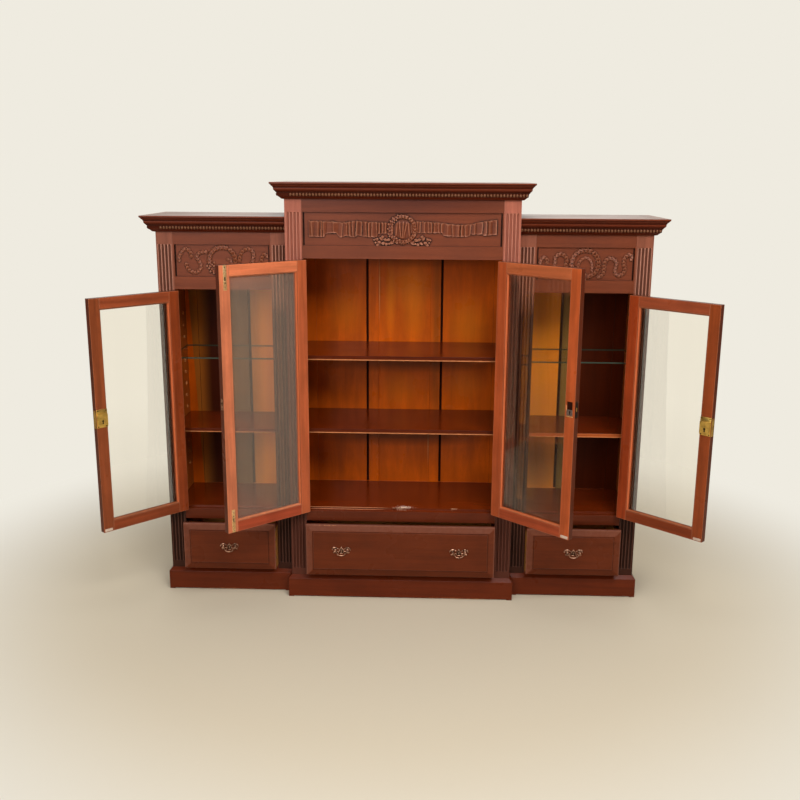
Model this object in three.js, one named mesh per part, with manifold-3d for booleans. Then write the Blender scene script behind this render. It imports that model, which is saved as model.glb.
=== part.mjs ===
// A glazed breakfront bookcase: a tall centre bay between two lower wings, each bay with glass doors,
// shelves and one drawer below. Millimetres, +Z up, front towards -Y, floor at z = 0, x = 0 in the middle.
// The origin lies in the middle of the underside of the plinth's rear rail.
import * as THREE from "three";
import { mergeVertices } from "three/addons/utils/BufferGeometryUtils.js";
import Module from "manifold-3d";

const wasm = await Module();
wasm.setup();

// Overall sizes of the carcass, without mouldings
const centreWidth = 890;
const wingWidth = 509;
const centreHeight = 1666;
const wingDrop = 128;
const centreDepth = 386;
const breakForward = 54;

// Board thicknesses and the clearance that every joint between two pieces keeps
const sideThick = 20;
const faceThick = 22;
const backThick = 12;
const boardThick = 20;
const seat = 0.3;
const overrun = 2;
const weldDistance = 1e-4;
const grainsPerUnit = 1024;

// Plinth with a bevelled top edge and a slight lift between its feet
const plinthHeight = 92;
const plinthOut = 13;
const bevelHeight = 14;
const footLift = 3;
const footLength = 22;
const rearRail = 20;
const baseRailRise = 18;

// Crown moulding
const corniceOut = 48;
const corniceHeight = 62;

// Fluted pilasters
const pilasterWidth = 64;
const fluteCount = 4;
const flutePitch = 13.2;
const fluteRadius = 4;
const fluteSides = 8;
const baseBlock = 27;

// Friezes: a plain band, a sunk panel and a lower rail
const bandHeight = 48;
const panelHeight = 124;
const friezeRail = 49;
const sinkDepth = 8;
const sinkMargin = 5;

// Levels of the floors of the bays, and the rail between doors and drawer
const centreFloor = 377;
const wingFloor = 357;
const railHeight = 43;
const stopLip = 6;

// Shelves and the pins below them
const upperShelfTop = 1002;
const lowerShelfTop = 706;
const shelfThick = 18;
const glassShelfTop = 979;
const woodShelfTop = 686;
const wingShelfThick = 16;
const glassShelfThick = 6;
const shelfSetback = 30;
const pinRadius = 3;
const pinLength = 9;
const pinInset = 46;
const pinSides = 6;

// Back boards: proud stiles and muntins round sunk panels, with a gap beside each muntin
const backStile = 50;
const muntinWidth = 43;
const centreMuntin = 131;
const grooveWidth = 10;
const panelSink = 5;
const grooveDepth = 9;

// Glazed doors
const doorThick = 24;
const doorGap = 3;
const stileWidth = 48;
const railWidth = 46;
const glassThick = 4;
const glassRebate = 9;
const glassInset = 9;
const meetGap = 3;

// Butt hinges of the doors
const hingeGap = 3;
const hingeLength = 76;
const hingeInset = 110;
const knuckleRadius = 4;
const hingePinRadius = 1.8;
const boreRadius = 2.4;
const knuckleSides = 10;
const middleKnuckle = 26;
const pinOut = 4.5;
const leafThick = 1.4;
const leafDepth = 20;
const strapWidth = 3.4;

// Angles that the doors stand open, in degrees
const leftWingAngle = 133;
const leftCentreAngle = 137.5;
const rightCentreAngle = 136.5;
const rightWingAngle = 136;

// Lock bolts in the free stiles, and the flush bolts of the left centre door
const boltLength = 20;
const boltHeight = 13;
const boltThick = 5;
const boltThrow = 8;
const boltPlay = 0.4;
const centreLockLevel = 873;
const wingLockLevel = 800;
const strikePlay = 1.5;
const flushLength = 88;
const flushWidth = 13;
const flushDepth = 5;
const flushThrow = 9;
const knobSize = 6;

// Drawers
const centreDrawerPull = 50;
const wingDrawerPull = 60;
const drawerGap = 2;
const frontThick = 22;
const bevelWidth = 30;
const bevelDepth = 5;
const drawerWall = 12;
const drawerBottom = 6;
const bottomLift = 8;
const drawerBackGap = 24;
const drawerRimDrop = 22;
const runnerWidth = 16;

// Drawer pulls: a shaped plate with two posts, and a hanging bail
const pullSpread = 473;
const plateHalfWidth = 40;
const plateHalfHeight = 24;
const plateThick = 2.2;
const postSpread = 52;
const postRadius = 5;
const postLength = 14;
const postSides = 10;
const postLevel = 3;
const bailRadius = 2;
const bailDrop = 21;
const bailFlare = 9;
const bailSteps = 26;
const bailSides = 6;
const bailBore = 2.6;

// Carving in the sunk panels
const wreathRadius = 49;
const wreathThick = 7;
const wreathSides = 6;
const wreathSteps = 22;
const garlandRadius = 5;
const garlandSteps = 34;
const pleatCount = 9;
const pleatRadius = 7;
const pleatHeight = 62;
const pleatWave = 9;
const ribbonEnd = 14;
const leafLength = 17;
const leafWidth = 6;
const leafShares = [
  [0.75, -0.62, 0.5],
  [0.98, -0.72, 0.2],
  [1.22, -0.78, -0.1],
  [1.5, -0.7, 0.35],
];
const garlandShares = [
  [0.34, 0.37],
  [0.47, 0.32],
  [0.53, 0.06],
  [0.47, -0.24],
  [0.44, -0.5],
  [0.57, -0.75],
  [0.71, -0.5],
  [0.73, -0.14],
  [0.66, 0.22],
  [0.68, 0.52],
  [0.76, 0.65],
  [0.85, 0.42],
  [0.91, 0.06],
  [0.83, -0.12],
];

// Outline of a crown moulding: shares of its projection outwards and of its height from the top down
const corniceShares = [
  [1, 0],
  [1, 0.09],
  [0.92, 0.11],
  [0.9, 0.2],
  [0.78, 0.27],
  [0.74, 0.31],
  [0.71, 0.42],
  [0.62, 0.52],
  [0.56, 0.58],
  [0.56, 0.62],
  [0.47, 0.67],
  [0.43, 0.76],
  [0.38, 0.82],
  [0.3, 0.86],
  [0.14, 0.97],
  [0.12, 1],
];

// Right half of the outline of a pull's plate: shares of its half width and half height, top to bottom
const plateShares = [
  [0, 1],
  [0.14, 0.84],
  [0.28, 0.58],
  [0.44, 0.66],
  [0.6, 0.95],
  [0.72, 0.8],
  [0.82, 0.5],
  [1, 0.34],
  [0.9, 0.1],
  [0.96, -0.16],
  [0.8, -0.34],
  [0.62, -0.42],
  [0.46, -0.66],
  [0.3, -0.6],
  [0.15, -0.86],
  [0, -1],
];

// Half of a bail: shares of its flare outwards from the post, and of its drop
const bailShares = [
  [0.75, 0],
  [1, 0.16],
  [0.8, 0.42],
  [0.1, 0.66],
  [-0.3, 0.86],
  [-0.9, 0.98],
];

// Planes and levels that follow from the sizes above
const backPlane = rearRail / 2;
const centreHalf = centreWidth / 2;
const wingOuter = centreHalf + wingWidth;
const wingHeight = centreHeight - wingDrop;
const centreFace = backPlane - centreDepth;
const wingFace = centreFace + breakForward;
const centreEdge = centreHalf - pilasterWidth;
const wingInnerEdge = centreHalf + seat + pilasterWidth;
const wingOuterEdge = wingOuter - pilasterWidth;
const standLevel = plinthHeight + seat;
const drawerLevel = plinthHeight + baseRailRise;
const insideBack = backPlane - backThick - seat;
const mahogany = "#6b2a1b";

// The levels of one bay: its top, its floor and what lies between
function levelsOf(height, floor) {
  const carcassTop = height - boardThick - seat;
  const panelTop = height - corniceHeight - bandHeight;
  const panelLow = panelTop - panelHeight;
  const openingTop = panelLow - friezeRail;
  const railTop = floor - stopLip;
  const railLow = railTop - railHeight;
  const doorTop = openingTop - doorGap;
  const doorLow = railTop + doorGap;
  return { height, floor, carcassTop, panelTop, panelLow, openingTop, railTop, railLow, doorTop, doorLow };
}
const centre = levelsOf(centreHeight, centreFloor);
const wing = levelsOf(wingHeight, wingFloor);

const bookcase = new THREE.Group();
const bothSides = [
  [-1, "left"],
  [1, "right"],
];

// Closed solids from three.js geometry, with their corners on one fine grid, and meshes from solids
function onGrain(value) {
  return Math.round(value * grainsPerUnit) / grainsPerUnit;
}

function solidOf(geometry) {
  const bare = geometry.index ? geometry.toNonIndexed() : geometry.clone();
  bare.deleteAttribute("normal");
  bare.deleteAttribute("uv");
  const welded = mergeVertices(bare, weldDistance);
  const vertProperties = welded.attributes.position.array.map(onGrain);
  const triVerts = new Uint32Array(welded.index.array);
  const mesh = new wasm.Mesh({ numProp: 3, vertProperties, triVerts });
  const made = new wasm.Manifold(mesh);
  if (made.volume() > 0) return made;
  for (let i = 0; i < triVerts.length; i += 3) {
    [triVerts[i + 1], triVerts[i + 2]] = [triVerts[i + 2], triVerts[i + 1]];
  }
  return new wasm.Manifold(new wasm.Mesh({ numProp: 3, vertProperties, triVerts }));
}

function addNode(name, solid, finish, parent = bookcase) {
  const mesh = solid.getMesh();
  const geometry = new THREE.BufferGeometry();
  geometry.setAttribute("position", new THREE.BufferAttribute(mesh.vertProperties, mesh.numProp));
  geometry.setIndex(new THREE.BufferAttribute(mesh.triVerts, 1));
  geometry.computeVertexNormals();
  const node = new THREE.Mesh(geometry, new THREE.MeshStandardMaterial(finish));
  node.name = name;
  parent.add(node);
  return node;
}

const wood = { color: mahogany, roughness: 0.38, metalness: 0 };
const doorWood = { color: "#7d3420", roughness: 0.4, metalness: 0 };
const shelfWood = { color: "#6a2c10", roughness: 0.42, metalness: 0 };
const backWood = { color: "#9a5218", roughness: 0.5, metalness: 0 };
const glass = { color: "#dfe9e4", roughness: 0.05, metalness: 0, transparent: true, opacity: 0.25 };
const brass = { color: "#a4863f", roughness: 0.35, metalness: 1 };
const agedBrass = { color: "#8d7050", roughness: 0.45, metalness: 1 };

// A block between two limits on each axis
function block(x0, x1, y0, y1, z0, z1) {
  const box = new THREE.BoxGeometry(Math.abs(x1 - x0), Math.abs(y1 - y0), Math.abs(z1 - z0));
  box.translate((x0 + x1) / 2, (y0 + y1) / 2, (z0 + z1) / 2);
  return solidOf(box);
}

// A round rod of some radius between two points
function rod(radius, sides, from, to) {
  const along = new THREE.Vector3().subVectors(to, from);
  const cylinder = new THREE.CylinderGeometry(radius, radius, along.length(), sides);
  const turn = new THREE.Quaternion().setFromUnitVectors(
    new THREE.Vector3(0, 1, 0),
    along.clone().normalize(),
  );
  cylinder.applyQuaternion(turn);
  const middle = new THREE.Vector3().addVectors(from, to).multiplyScalar(0.5);
  cylinder.translate(middle.x, middle.y, middle.z);
  return solidOf(cylinder);
}

// A round tube along a curve
function tube(radius, sides, curve, steps) {
  const corners = Array.from({ length: sides }, (_, i) => {
    const angle = (i / sides) * 2 * Math.PI;
    return new THREE.Vector2(radius * Math.cos(angle), radius * Math.sin(angle));
  });
  const section = new THREE.Shape(corners);
  return solidOf(new THREE.ExtrudeGeometry(section, { steps, extrudePath: curve }));
}

const plan = (points) => points.map(([x, y]) => new THREE.Vector2(x, y));

// A moulding: an outline of (out, up) points swept round a plan path with mitred corners.
// Outwards is to the right of the path as seen from above.
function moulding(outlinePoints, path) {
  const clockwise = THREE.ShapeUtils.isClockWise(plan(outlinePoints));
  const outline = clockwise ? [...outlinePoints].reverse() : outlinePoints;
  const normals = path.slice(1).map((end, i) => {
    const run = new THREE.Vector2().subVectors(end, path[i]).normalize();
    return new THREE.Vector2(run.y, -run.x);
  });
  const mitres = path.map((_, i) => {
    const before = normals[Math.max(i - 1, 0)];
    const after = normals[Math.min(i, normals.length - 1)];
    const sum = new THREE.Vector2().addVectors(before, after);
    return sum.divideScalar(1 + before.dot(after));
  });
  const positions = [];
  path.forEach((corner, i) => {
    outline.forEach(([out, up]) => {
      positions.push(corner.x + mitres[i].x * out, corner.y + mitres[i].y * out, up);
    });
  });
  const count = outline.length;
  const indices = [];
  for (let i = 0; i + 1 < path.length; i += 1) {
    for (let j = 0; j < count; j += 1) {
      const a = i * count + j;
      const b = i * count + ((j + 1) % count);
      indices.push(a, b, b + count, a, b + count, a + count);
    }
  }
  const flat = plan(outline);
  const last = (path.length - 1) * count;
  for (const [a, b, c] of THREE.ShapeUtils.triangulateShape(flat, [])) {
    indices.push(a, c, b, last + a, last + b, last + c);
  }
  const geometry = new THREE.BufferGeometry();
  geometry.setAttribute("position", new THREE.Float32BufferAttribute(positions, 3));
  geometry.setIndex(indices);
  return solidOf(geometry);
}

// Plinth: a mitred frame that follows the break in the front, with a rear rail, two cross rails
// under the centre bay's sides and a base rail below each drawer
function makePlinth() {
  const outline = [
    [plinthOut, 0],
    [plinthOut, plinthHeight - bevelHeight],
    [0, plinthHeight],
    [-sideThick, plinthHeight],
    [-sideThick, 0],
  ];
  const path = plan([
    [-wingOuter, backPlane],
    [-wingOuter, wingFace],
    [-centreHalf, wingFace],
    [-centreHalf, centreFace],
    [centreHalf, centreFace],
    [centreHalf, wingFace],
    [wingOuter, wingFace],
    [wingOuter, backPlane],
  ]);
  const inner = wingOuter - sideThick;
  let plinth = moulding(outline, path).add(
    block(-inner - overrun, inner + overrun, backPlane - rearRail, backPlane, 0, plinthHeight),
  );
  for (const side of [-1, 1]) {
    const outer = side * centreHalf;
    const inside = side * (centreHalf - sideThick + overrun);
    const tail = backPlane - rearRail + overrun;
    plinth = plinth.add(block(inside, outer, wingFace - overrun, tail, 0, plinthHeight));
    const bayInner = side * (wingInnerEdge + seat);
    const bayOuter = side * (wingOuterEdge - seat);
    const low = plinthHeight - overrun;
    plinth = plinth.add(block(bayInner, bayOuter, wingFace, wingFace + sideThick, low, drawerLevel));
    const wingFrom = side * (centreHalf + plinthOut + footLength);
    const wingTo = side * (wingOuter + plinthOut - footLength);
    const front = wingFace - plinthOut - overrun;
    plinth = plinth.subtract(
      block(wingFrom, wingTo, front, wingFace + sideThick + overrun, -overrun, footLift),
    );
  }
  const span = centreEdge - seat;
  plinth = plinth.add(
    block(-span, span, centreFace, centreFace + sideThick, plinthHeight - overrun, drawerLevel),
  );
  const reach = centreHalf + plinthOut - footLength;
  const front = centreFace - plinthOut - overrun;
  plinth = plinth.subtract(
    block(-reach, reach, front, centreFace + sideThick + overrun, -overrun, footLift),
  );
  addNode("plinth", plinth, wood);
}

// A crown moulding with its top board
function cap(name, path, height, board) {
  const outline = corniceShares.map(([outShare, downShare]) => [
    seat + outShare * (corniceOut - seat),
    height - downShare * corniceHeight,
  ]);
  outline.push([seat, height - corniceHeight], [seat, height]);
  const crown = moulding(outline, path);
  const [x0, x1, y0, y1] = board;
  addNode(name, crown.add(block(x0, x1, y0, y1, height - boardThick, height)), wood);
}

function makeCaps() {
  const lap = corniceOut / 2;
  const centrePath = [
    [-centreHalf, backPlane],
    [-centreHalf, centreFace],
    [centreHalf, centreFace],
    [centreHalf, backPlane],
  ];
  const centreBoard = [-centreHalf - lap, centreHalf + lap, centreFace - lap, backPlane];
  cap("centre_cornice", plan(centrePath), centreHeight, centreBoard);
  const inner = centreHalf + seat;
  const front = wingFace - lap;
  const leftPath = [
    [-wingOuter, backPlane],
    [-wingOuter, wingFace],
    [-inner, wingFace],
  ];
  cap("left_cornice", plan(leftPath), wingHeight, [-wingOuter - lap, -inner, front, backPlane]);
  const rightPath = [
    [inner, wingFace],
    [wingOuter, wingFace],
    [wingOuter, backPlane],
  ];
  cap("right_cornice", plan(rightPath), wingHeight, [inner, wingOuter + lap, front, backPlane]);
}

// Upright boards of the carcass, with the shelf pins and drawer runners that they carry
function shelfPins(face, towards, face0, levels) {
  const front = face0 + shelfSetback + pinInset;
  const back = insideBack - pinInset;
  return levels.flatMap((level) =>
    [front, back].map((y) => {
      const z = level - seat - pinRadius;
      const root = new THREE.Vector3(face - towards * overrun, y, z);
      const tip = new THREE.Vector3(face + towards * pinLength, y, z);
      return rod(pinRadius, pinSides, root, tip);
    }),
  );
}

function runner(wall, reachTo, front) {
  return block(wall, reachTo, front, insideBack - pinInset, standLevel, drawerLevel);
}

function makeSides() {
  const centreShelves = [upperShelfTop - shelfThick, lowerShelfTop - shelfThick];
  const wingShelves = [glassShelfTop - glassShelfThick, woodShelfTop - wingShelfThick];
  for (const [side, label] of bothSides) {
    const outer = side * centreHalf;
    const inner = side * (centreHalf - sideThick);
    const front = centreFace + faceThick + seat;
    let upright = block(inner, outer, front, insideBack, standLevel, centre.carcassTop);
    const pins = [
      ...shelfPins(inner, -side, centreFace, centreShelves),
      ...shelfPins(outer, side, wingFace, wingShelves),
    ];
    const centreRun = side * (centreEdge - drawerGap - runnerWidth);
    const wingRun = side * (wingInnerEdge + drawerGap + runnerWidth);
    pins.push(runner(inner + side * overrun, centreRun, front));
    pins.push(runner(outer - side * overrun, wingRun, wingFace + faceThick + seat));
    for (const piece of pins) upright = upright.add(piece);
    addNode(`centre_${label}_side`, upright, wood);

    const wall = side * (wingOuter - sideThick);
    const wallFront = wingFace + faceThick + seat;
    let end = block(wall, side * wingOuter, wallFront, backPlane, standLevel, wing.carcassTop);
    const outerRun = side * (wingOuterEdge - drawerGap - runnerWidth);
    const pieces = shelfPins(wall, -side, wingFace, wingShelves);
    pieces.push(runner(wall + side * overrun, outerRun, wallFront));
    for (const piece of pieces) end = end.add(piece);
    addNode(`${label}_outer_side`, end, wood);
  }
}

// A pilaster: a face board with round-ended flutes; strikes cut in it take a door's lock bolt
function pilaster(name, x0, x1, face, bay, strike) {
  let board = block(x0, x1, face, face + faceThick, standLevel, bay.carcassTop);
  const middle = (x0 + x1) / 2;
  const low = standLevel + baseBlock + fluteRadius;
  const high = bay.panelTop - fluteRadius;
  for (let i = 0; i < fluteCount; i += 1) {
    const x = middle + (i - (fluteCount - 1) / 2) * flutePitch;
    const bottom = new THREE.Vector3(x, face, low);
    const top = new THREE.Vector3(x, face, high);
    const turn = new THREE.Matrix4().makeRotationX(Math.PI / 2);
    let flute = rod(fluteRadius, fluteSides, bottom, top);
    for (const end of [bottom, top]) {
      const ball = new THREE.SphereGeometry(fluteRadius, fluteSides, fluteSides / 2);
      ball.applyMatrix4(turn).translate(end.x, end.y, end.z);
      flute = flute.add(solidOf(ball));
    }
    board = board.subtract(flute);
  }
  if (strike) board = board.subtract(strike);
  addNode(name, board, wood);
}

function boltPocket(x0, x1, face, level) {
  const middle = face + doorThick / 2;
  const half = boltThick / 2 + strikePlay;
  const rise = boltHeight / 2 + strikePlay;
  return block(x0, x1, middle - half, middle + half, level - rise, level + rise);
}

function makePilasters() {
  for (const [side, label] of bothSides) {
    pilaster(`centre_${label}_pilaster`, side * centreEdge, side * centreHalf, centreFace, centre);
    const inner = side * (centreHalf + seat);
    const edge = side * wingInnerEdge;
    const strikeDepth = boltThrow + strikePlay;
    const strike = boltPocket(edge - side * strikeDepth, edge + side * overrun, wingFace, wingLockLevel);
    pilaster(`${label}_inner_pilaster`, inner, edge, wingFace, wing, strike);
    pilaster(`${label}_outer_pilaster`, side * wingOuterEdge, side * wingOuter, wingFace, wing);
  }
}

// Friezes: a board with a sunk panel and its carving
function wreath(x, y, z) {
  const ring = new THREE.TorusGeometry(wreathRadius, wreathThick, wreathSides, wreathSteps);
  ring.rotateX(Math.PI / 2).translate(x, y, z);
  return solidOf(ring);
}

function garland(x, y, z, halfWidth, halfHeight) {
  const points = garlandShares.map(
    ([outShare, upShare]) =>
      new THREE.Vector3(x + outShare * halfWidth, y, z + upShare * halfHeight),
  );
  const curve = new THREE.CatmullRomCurve3(points);
  return tube(garlandRadius, wreathSides, curve, garlandSteps);
}

function pleats(x, y, z, from, to) {
  const bars = [];
  for (let i = 0; i < pleatCount; i += 1) {
    const share = (i + 0.5) / pleatCount;
    const place = x + from + share * (to - from);
    const lift = pleatWave * Math.sin(share * 2 * Math.PI);
    const low = new THREE.Vector3(place, y, z + lift - pleatHeight / 2);
    const high = new THREE.Vector3(place, y, z + lift + pleatHeight / 2);
    bars.push(rod(pleatRadius, wreathSides, low, high));
  }
  return bars;
}

function leaves(x, y, z, side) {
  return leafShares.map(([outShare, upShare, turnShare]) => {
    const leaf = new THREE.SphereGeometry(leafWidth, wreathSides, wreathSides - 2);
    leaf.scale(leafLength / leafWidth, 1, 1);
    leaf.rotateY(side * turnShare * Math.PI);
    leaf.translate(x + side * outShare * wreathRadius, y, z + upShare * wreathRadius);
    return solidOf(leaf);
  });
}

function frieze(name, x0, x1, face, bay, carving, notch) {
  let board = block(x0, x1, face, face + faceThick, bay.openingTop, bay.carcassTop);
  const floor = face + sinkDepth;
  board = board.subtract(
    block(x0 + sinkMargin, x1 - sinkMargin, face - overrun, floor, bay.panelLow, bay.panelTop),
  );
  for (const piece of carving) board = board.add(piece);
  if (notch) board = board.subtract(notch);
  addNode(name, board, wood);
}

function makeFriezes() {
  const half = centreEdge - seat;
  const centreRow = (centre.panelTop + centre.panelLow) / 2;
  const centreFloorY = centreFace + sinkDepth;
  const ribbonFrom = wreathRadius + wreathThick;
  const ribbonTo = half - sinkMargin - ribbonEnd;
  const carving = [
    wreath(0, centreFloorY, centreRow),
    ...pleats(0, centreFloorY, centreRow, ribbonFrom, ribbonTo),
    ...pleats(0, centreFloorY, centreRow, -ribbonFrom, -ribbonTo),
    ...leaves(0, centreFloorY, centreRow, 1),
    ...leaves(0, centreFloorY, centreRow, -1),
  ];
  const [notchFrom, notchTo] = flushPocketSpan();
  const notchFront = centreFace + doorThick - flushDepth - strikePlay;
  const notchTop = centre.openingTop + flushThrow + strikePlay - doorGap;
  const notch = block(
    notchFrom,
    notchTo,
    notchFront,
    centreFace + faceThick + overrun,
    centre.openingTop - overrun,
    notchTop,
  );
  frieze("centre_frieze", -half, half, centreFace, centre, carving, notch);
  const row = (wing.panelTop + wing.panelLow) / 2;
  const floor = wingFace + sinkDepth;
  for (const [side, label] of bothSides) {
    const from = wingInnerEdge + seat;
    const to = wingOuterEdge - seat;
    const middle = (side * (from + to)) / 2;
    const halfWidth = (to - from) / 2 - sinkMargin;
    const motifs = [
      wreath(middle, floor, row),
      garland(middle, floor, row, halfWidth, panelHeight / 2),
      garland(middle, floor, row, -halfWidth, panelHeight / 2),
    ];
    const limits = [side * from, side * to].sort((a, b) => a - b);
    frieze(`${label}_frieze`, ...limits, wingFace, wing, motifs);
  }
}

// The floor of a bay, in one piece with the rail in front of it; the floor's edge stops the door
function bayFloor(name, railFrom, railTo, from, to, face, bay, notch) {
  const edge = face + doorThick + seat;
  const back = insideBack;
  let floor = block(from, to, edge, back, bay.floor - boardThick, bay.floor);
  floor = floor.add(block(railFrom, railTo, face, edge + overrun, bay.railLow, bay.railTop));
  if (notch) floor = floor.subtract(notch);
  addNode(name, floor, wood);
}

function makeFloors() {
  const half = centreEdge - seat;
  const inside = centreHalf - sideThick - seat;
  const [notchFrom, notchTo] = flushPocketSpan();
  const notchFront = centreFace + doorThick - flushDepth - strikePlay;
  const notchBack = centreFace + doorThick + seat + strikePlay;
  const notchLow = centre.doorLow - flushThrow - strikePlay;
  const notch = block(
    notchFrom,
    notchTo,
    notchFront,
    notchBack,
    notchLow,
    centre.floor + overrun,
  );
  bayFloor("centre_floor", -half, half, -inside, inside, centreFace, centre, notch);
  for (const [side, label] of bothSides) {
    const rail = [side * (wingInnerEdge + seat), side * (wingOuterEdge - seat)].sort((a, b) => a - b);
    const board = [side * (centreHalf + seat), side * (wingOuter - sideThick - seat)];
    board.sort((a, b) => a - b);
    bayFloor(`${label}_floor`, ...rail, ...board, wingFace, wing);
  }
}

// The back: one stepped sheet of boards, with sunk panels and gaps beside the muntins
function makeBack() {
  const front = backPlane - backThick;
  const reach = wingOuter - sideThick - seat;
  let sheet = block(-reach, reach, front, backPlane, standLevel, wing.carcassTop);
  sheet = sheet.add(block(-centreHalf, centreHalf, front, backPlane, standLevel, centre.carcassTop));
  const sinks = [];
  const gaps = [];
  const innerWall = centreHalf - sideThick;
  const gapOuter = centreMuntin + muntinWidth / 2 + grooveWidth;
  sinks.push([-centreMuntin + muntinWidth / 2, centreMuntin - muntinWidth / 2, centre]);
  for (const side of [-1, 1]) {
    sinks.push([side * gapOuter, side * (innerWall - backStile), centre]);
    gaps.push([side * (gapOuter - grooveWidth), side * gapOuter, centre]);
    const wingMiddle = (centreHalf + wingOuter - sideThick) / 2;
    const nearGap = wingMiddle - muntinWidth / 2 - grooveWidth;
    sinks.push([side * (centreHalf + backStile), side * nearGap, wing]);
    sinks.push([side * (wingMiddle + muntinWidth / 2), side * (reach - backStile), wing]);
    gaps.push([side * nearGap, side * (nearGap + grooveWidth), wing]);
  }
  for (const [from, to, bay] of sinks) {
    const top = bay.carcassTop - backStile;
    sheet = sheet.subtract(block(from, to, front - overrun, front + panelSink, bay.floor, top));
  }
  for (const [from, to, bay] of gaps) {
    const top = bay.carcassTop - backStile;
    sheet = sheet.subtract(block(from, to, front - overrun, front + grooveDepth, bay.floor, top));
  }
  addNode("back_boards", sheet, backWood);
}

// Shelves
function shelf(name, x0, x1, face, top, thick, finish) {
  addNode(name, block(x0, x1, face + shelfSetback, insideBack - seat, top - thick, top), finish);
}

function makeShelves() {
  const half = centreHalf - sideThick - seat;
  shelf("centre_upper_shelf", -half, half, centreFace, upperShelfTop, shelfThick, shelfWood);
  shelf("centre_lower_shelf", -half, half, centreFace, lowerShelfTop, shelfThick, shelfWood);
  for (const [side, label] of bothSides) {
    const ends = [side * (centreHalf + seat), side * (wingOuter - sideThick - seat)];
    ends.sort((a, b) => a - b);
    shelf(`${label}_glass_shelf`, ...ends, wingFace, glassShelfTop, glassShelfThick, glass);
    shelf(`${label}_wood_shelf`, ...ends, wingFace, woodShelfTop, wingShelfThick, shelfWood);
  }
}

// Doors. Each is modelled shut about its hinge pin: u runs from the pin to the free edge and y inwards
// from the pin. A hand of -1 hangs the door on its left edge, seen from the front, and 1 on its right.
const doorNear = hingeGap / 2;
const centreDoorFar = centreEdge - hingeGap / 2 - meetGap / 2;
const wingDoorFar = wingOuterEdge - wingInnerEdge - hingeGap / 2 - meetGap / 2;

function flushPocketSpan() {
  const middle = -centreEdge + hingeGap / 2 + centreDoorFar - stileWidth / 2;
  const half = flushWidth / 2 + strikePlay;
  return [middle - half, middle + half];
}

function doorParts(spec) {
  const { label, hand, pinX, pinY, far, bay, open, lockLevel, hasBolt, strikeLevel } = spec;
  const pivot = new THREE.Group();
  pivot.position.set(pinX, pinY, 0);
  pivot.rotation.z = hand * THREE.MathUtils.degToRad(open);
  bookcase.add(pivot);
  const across = (u) => -hand * u;
  const outside = pinOut;
  const inside = pinOut + doorThick;
  const slab = (u0, u1, y0, y1, z0, z1) => block(across(u0), across(u1), y0, y1, z0, z1);

  let frame = slab(doorNear, far, outside, inside, bay.doorLow, bay.doorTop);
  const sightNear = doorNear + stileWidth;
  const sightFar = far - stileWidth;
  const sightLow = bay.doorLow + railWidth;
  const sightTop = bay.doorTop - railWidth;
  frame = frame.subtract(
    slab(sightNear, sightFar, outside - overrun, inside + overrun, sightLow, sightTop),
  );
  const paneNear = sightNear - glassRebate;
  const paneFar = sightFar + glassRebate;
  const paneLow = sightLow - glassRebate;
  const paneTop = sightTop + glassRebate;
  const paneFront = outside + glassInset;
  const paneBack = paneFront + glassThick;
  frame = frame.subtract(
    slab(
      paneNear - seat,
      paneFar + seat,
      paneFront - seat,
      paneBack + seat,
      paneLow - seat,
      paneTop + seat,
    ),
  );

  for (const level of [bay.doorLow + hingeInset, bay.doorTop - hingeInset]) {
    const low = level - middleKnuckle / 2;
    const high = level + middleKnuckle / 2;
    frame = frame
      .add(rod(knuckleRadius, knuckleSides, new THREE.Vector3(0, 0, low), new THREE.Vector3(0, 0, high)))
      .add(slab(boreRadius / 2, doorNear + strapWidth, boreRadius / 2, outside + strapWidth, low, high));
    const from = new THREE.Vector3(0, 0, low - overrun);
    const to = new THREE.Vector3(0, 0, high + overrun);
    frame = frame.subtract(rod(boreRadius, knuckleSides, from, to));
  }

  if (hasBolt) {
    const middle = outside + doorThick / 2;
    const half = boltThick / 2;
    const rise = boltHeight / 2;
    const inner = far - boltLength - seat;
    frame = frame.subtract(
      slab(
        inner - boltPlay,
        far + overrun,
        middle - half - boltPlay,
        middle + half + boltPlay,
        lockLevel - rise - boltPlay,
        lockLevel + rise + boltPlay,
      ),
    );
    const bolt = slab(inner, far - seat, middle - half, middle + half, lockLevel - rise, lockLevel + rise);
    addNode(`${label}_lock_bolt`, bolt, brass, pivot);
  }
  if (strikeLevel) {
    const middle = outside + doorThick / 2;
    const half = boltThick / 2 + strikePlay;
    const rise = boltHeight / 2 + strikePlay;
    frame = frame.subtract(
      slab(
        far - boltThrow - strikePlay,
        far + overrun,
        middle - half,
        middle + half,
        strikeLevel - rise,
        strikeLevel + rise,
      ),
    );
    const lane = far - stileWidth / 2;
    for (const [end, way, place] of [
      [bay.doorTop, 1, "upper"],
      [bay.doorLow, -1, "lower"],
    ]) {
      const tip = end - way * seat;
      const tail = end - way * flushLength;
      const play = flushWidth / 2 + boltPlay;
      frame = frame.subtract(
        slab(
          lane - play,
          lane + play,
          inside - flushDepth - boltPlay,
          inside + overrun,
          tail - way * boltPlay,
          end + way * overrun,
        ),
      );
      const side = flushWidth / 2;
      const knobAt = (tip + tail) / 2;
      const bolt = slab(lane - side, lane + side, inside - flushDepth, inside, tail, tip).add(
        slab(
          lane - knobSize / 2,
          lane + knobSize / 2,
          inside - overrun,
          inside + knobSize / 2,
          knobAt - knobSize / 2,
          knobAt + knobSize / 2,
        ),
      );
      addNode(`${label}_${place}_flush_bolt`, bolt, brass, pivot);
    }
  }
  addNode(`${label}_door_frame`, frame, doorWood, pivot);
  const pane = slab(paneNear, paneFar, paneFront, paneBack, paneLow, paneTop);
  addNode(`${label}_door_glass`, pane, glass, pivot);
}

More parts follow.
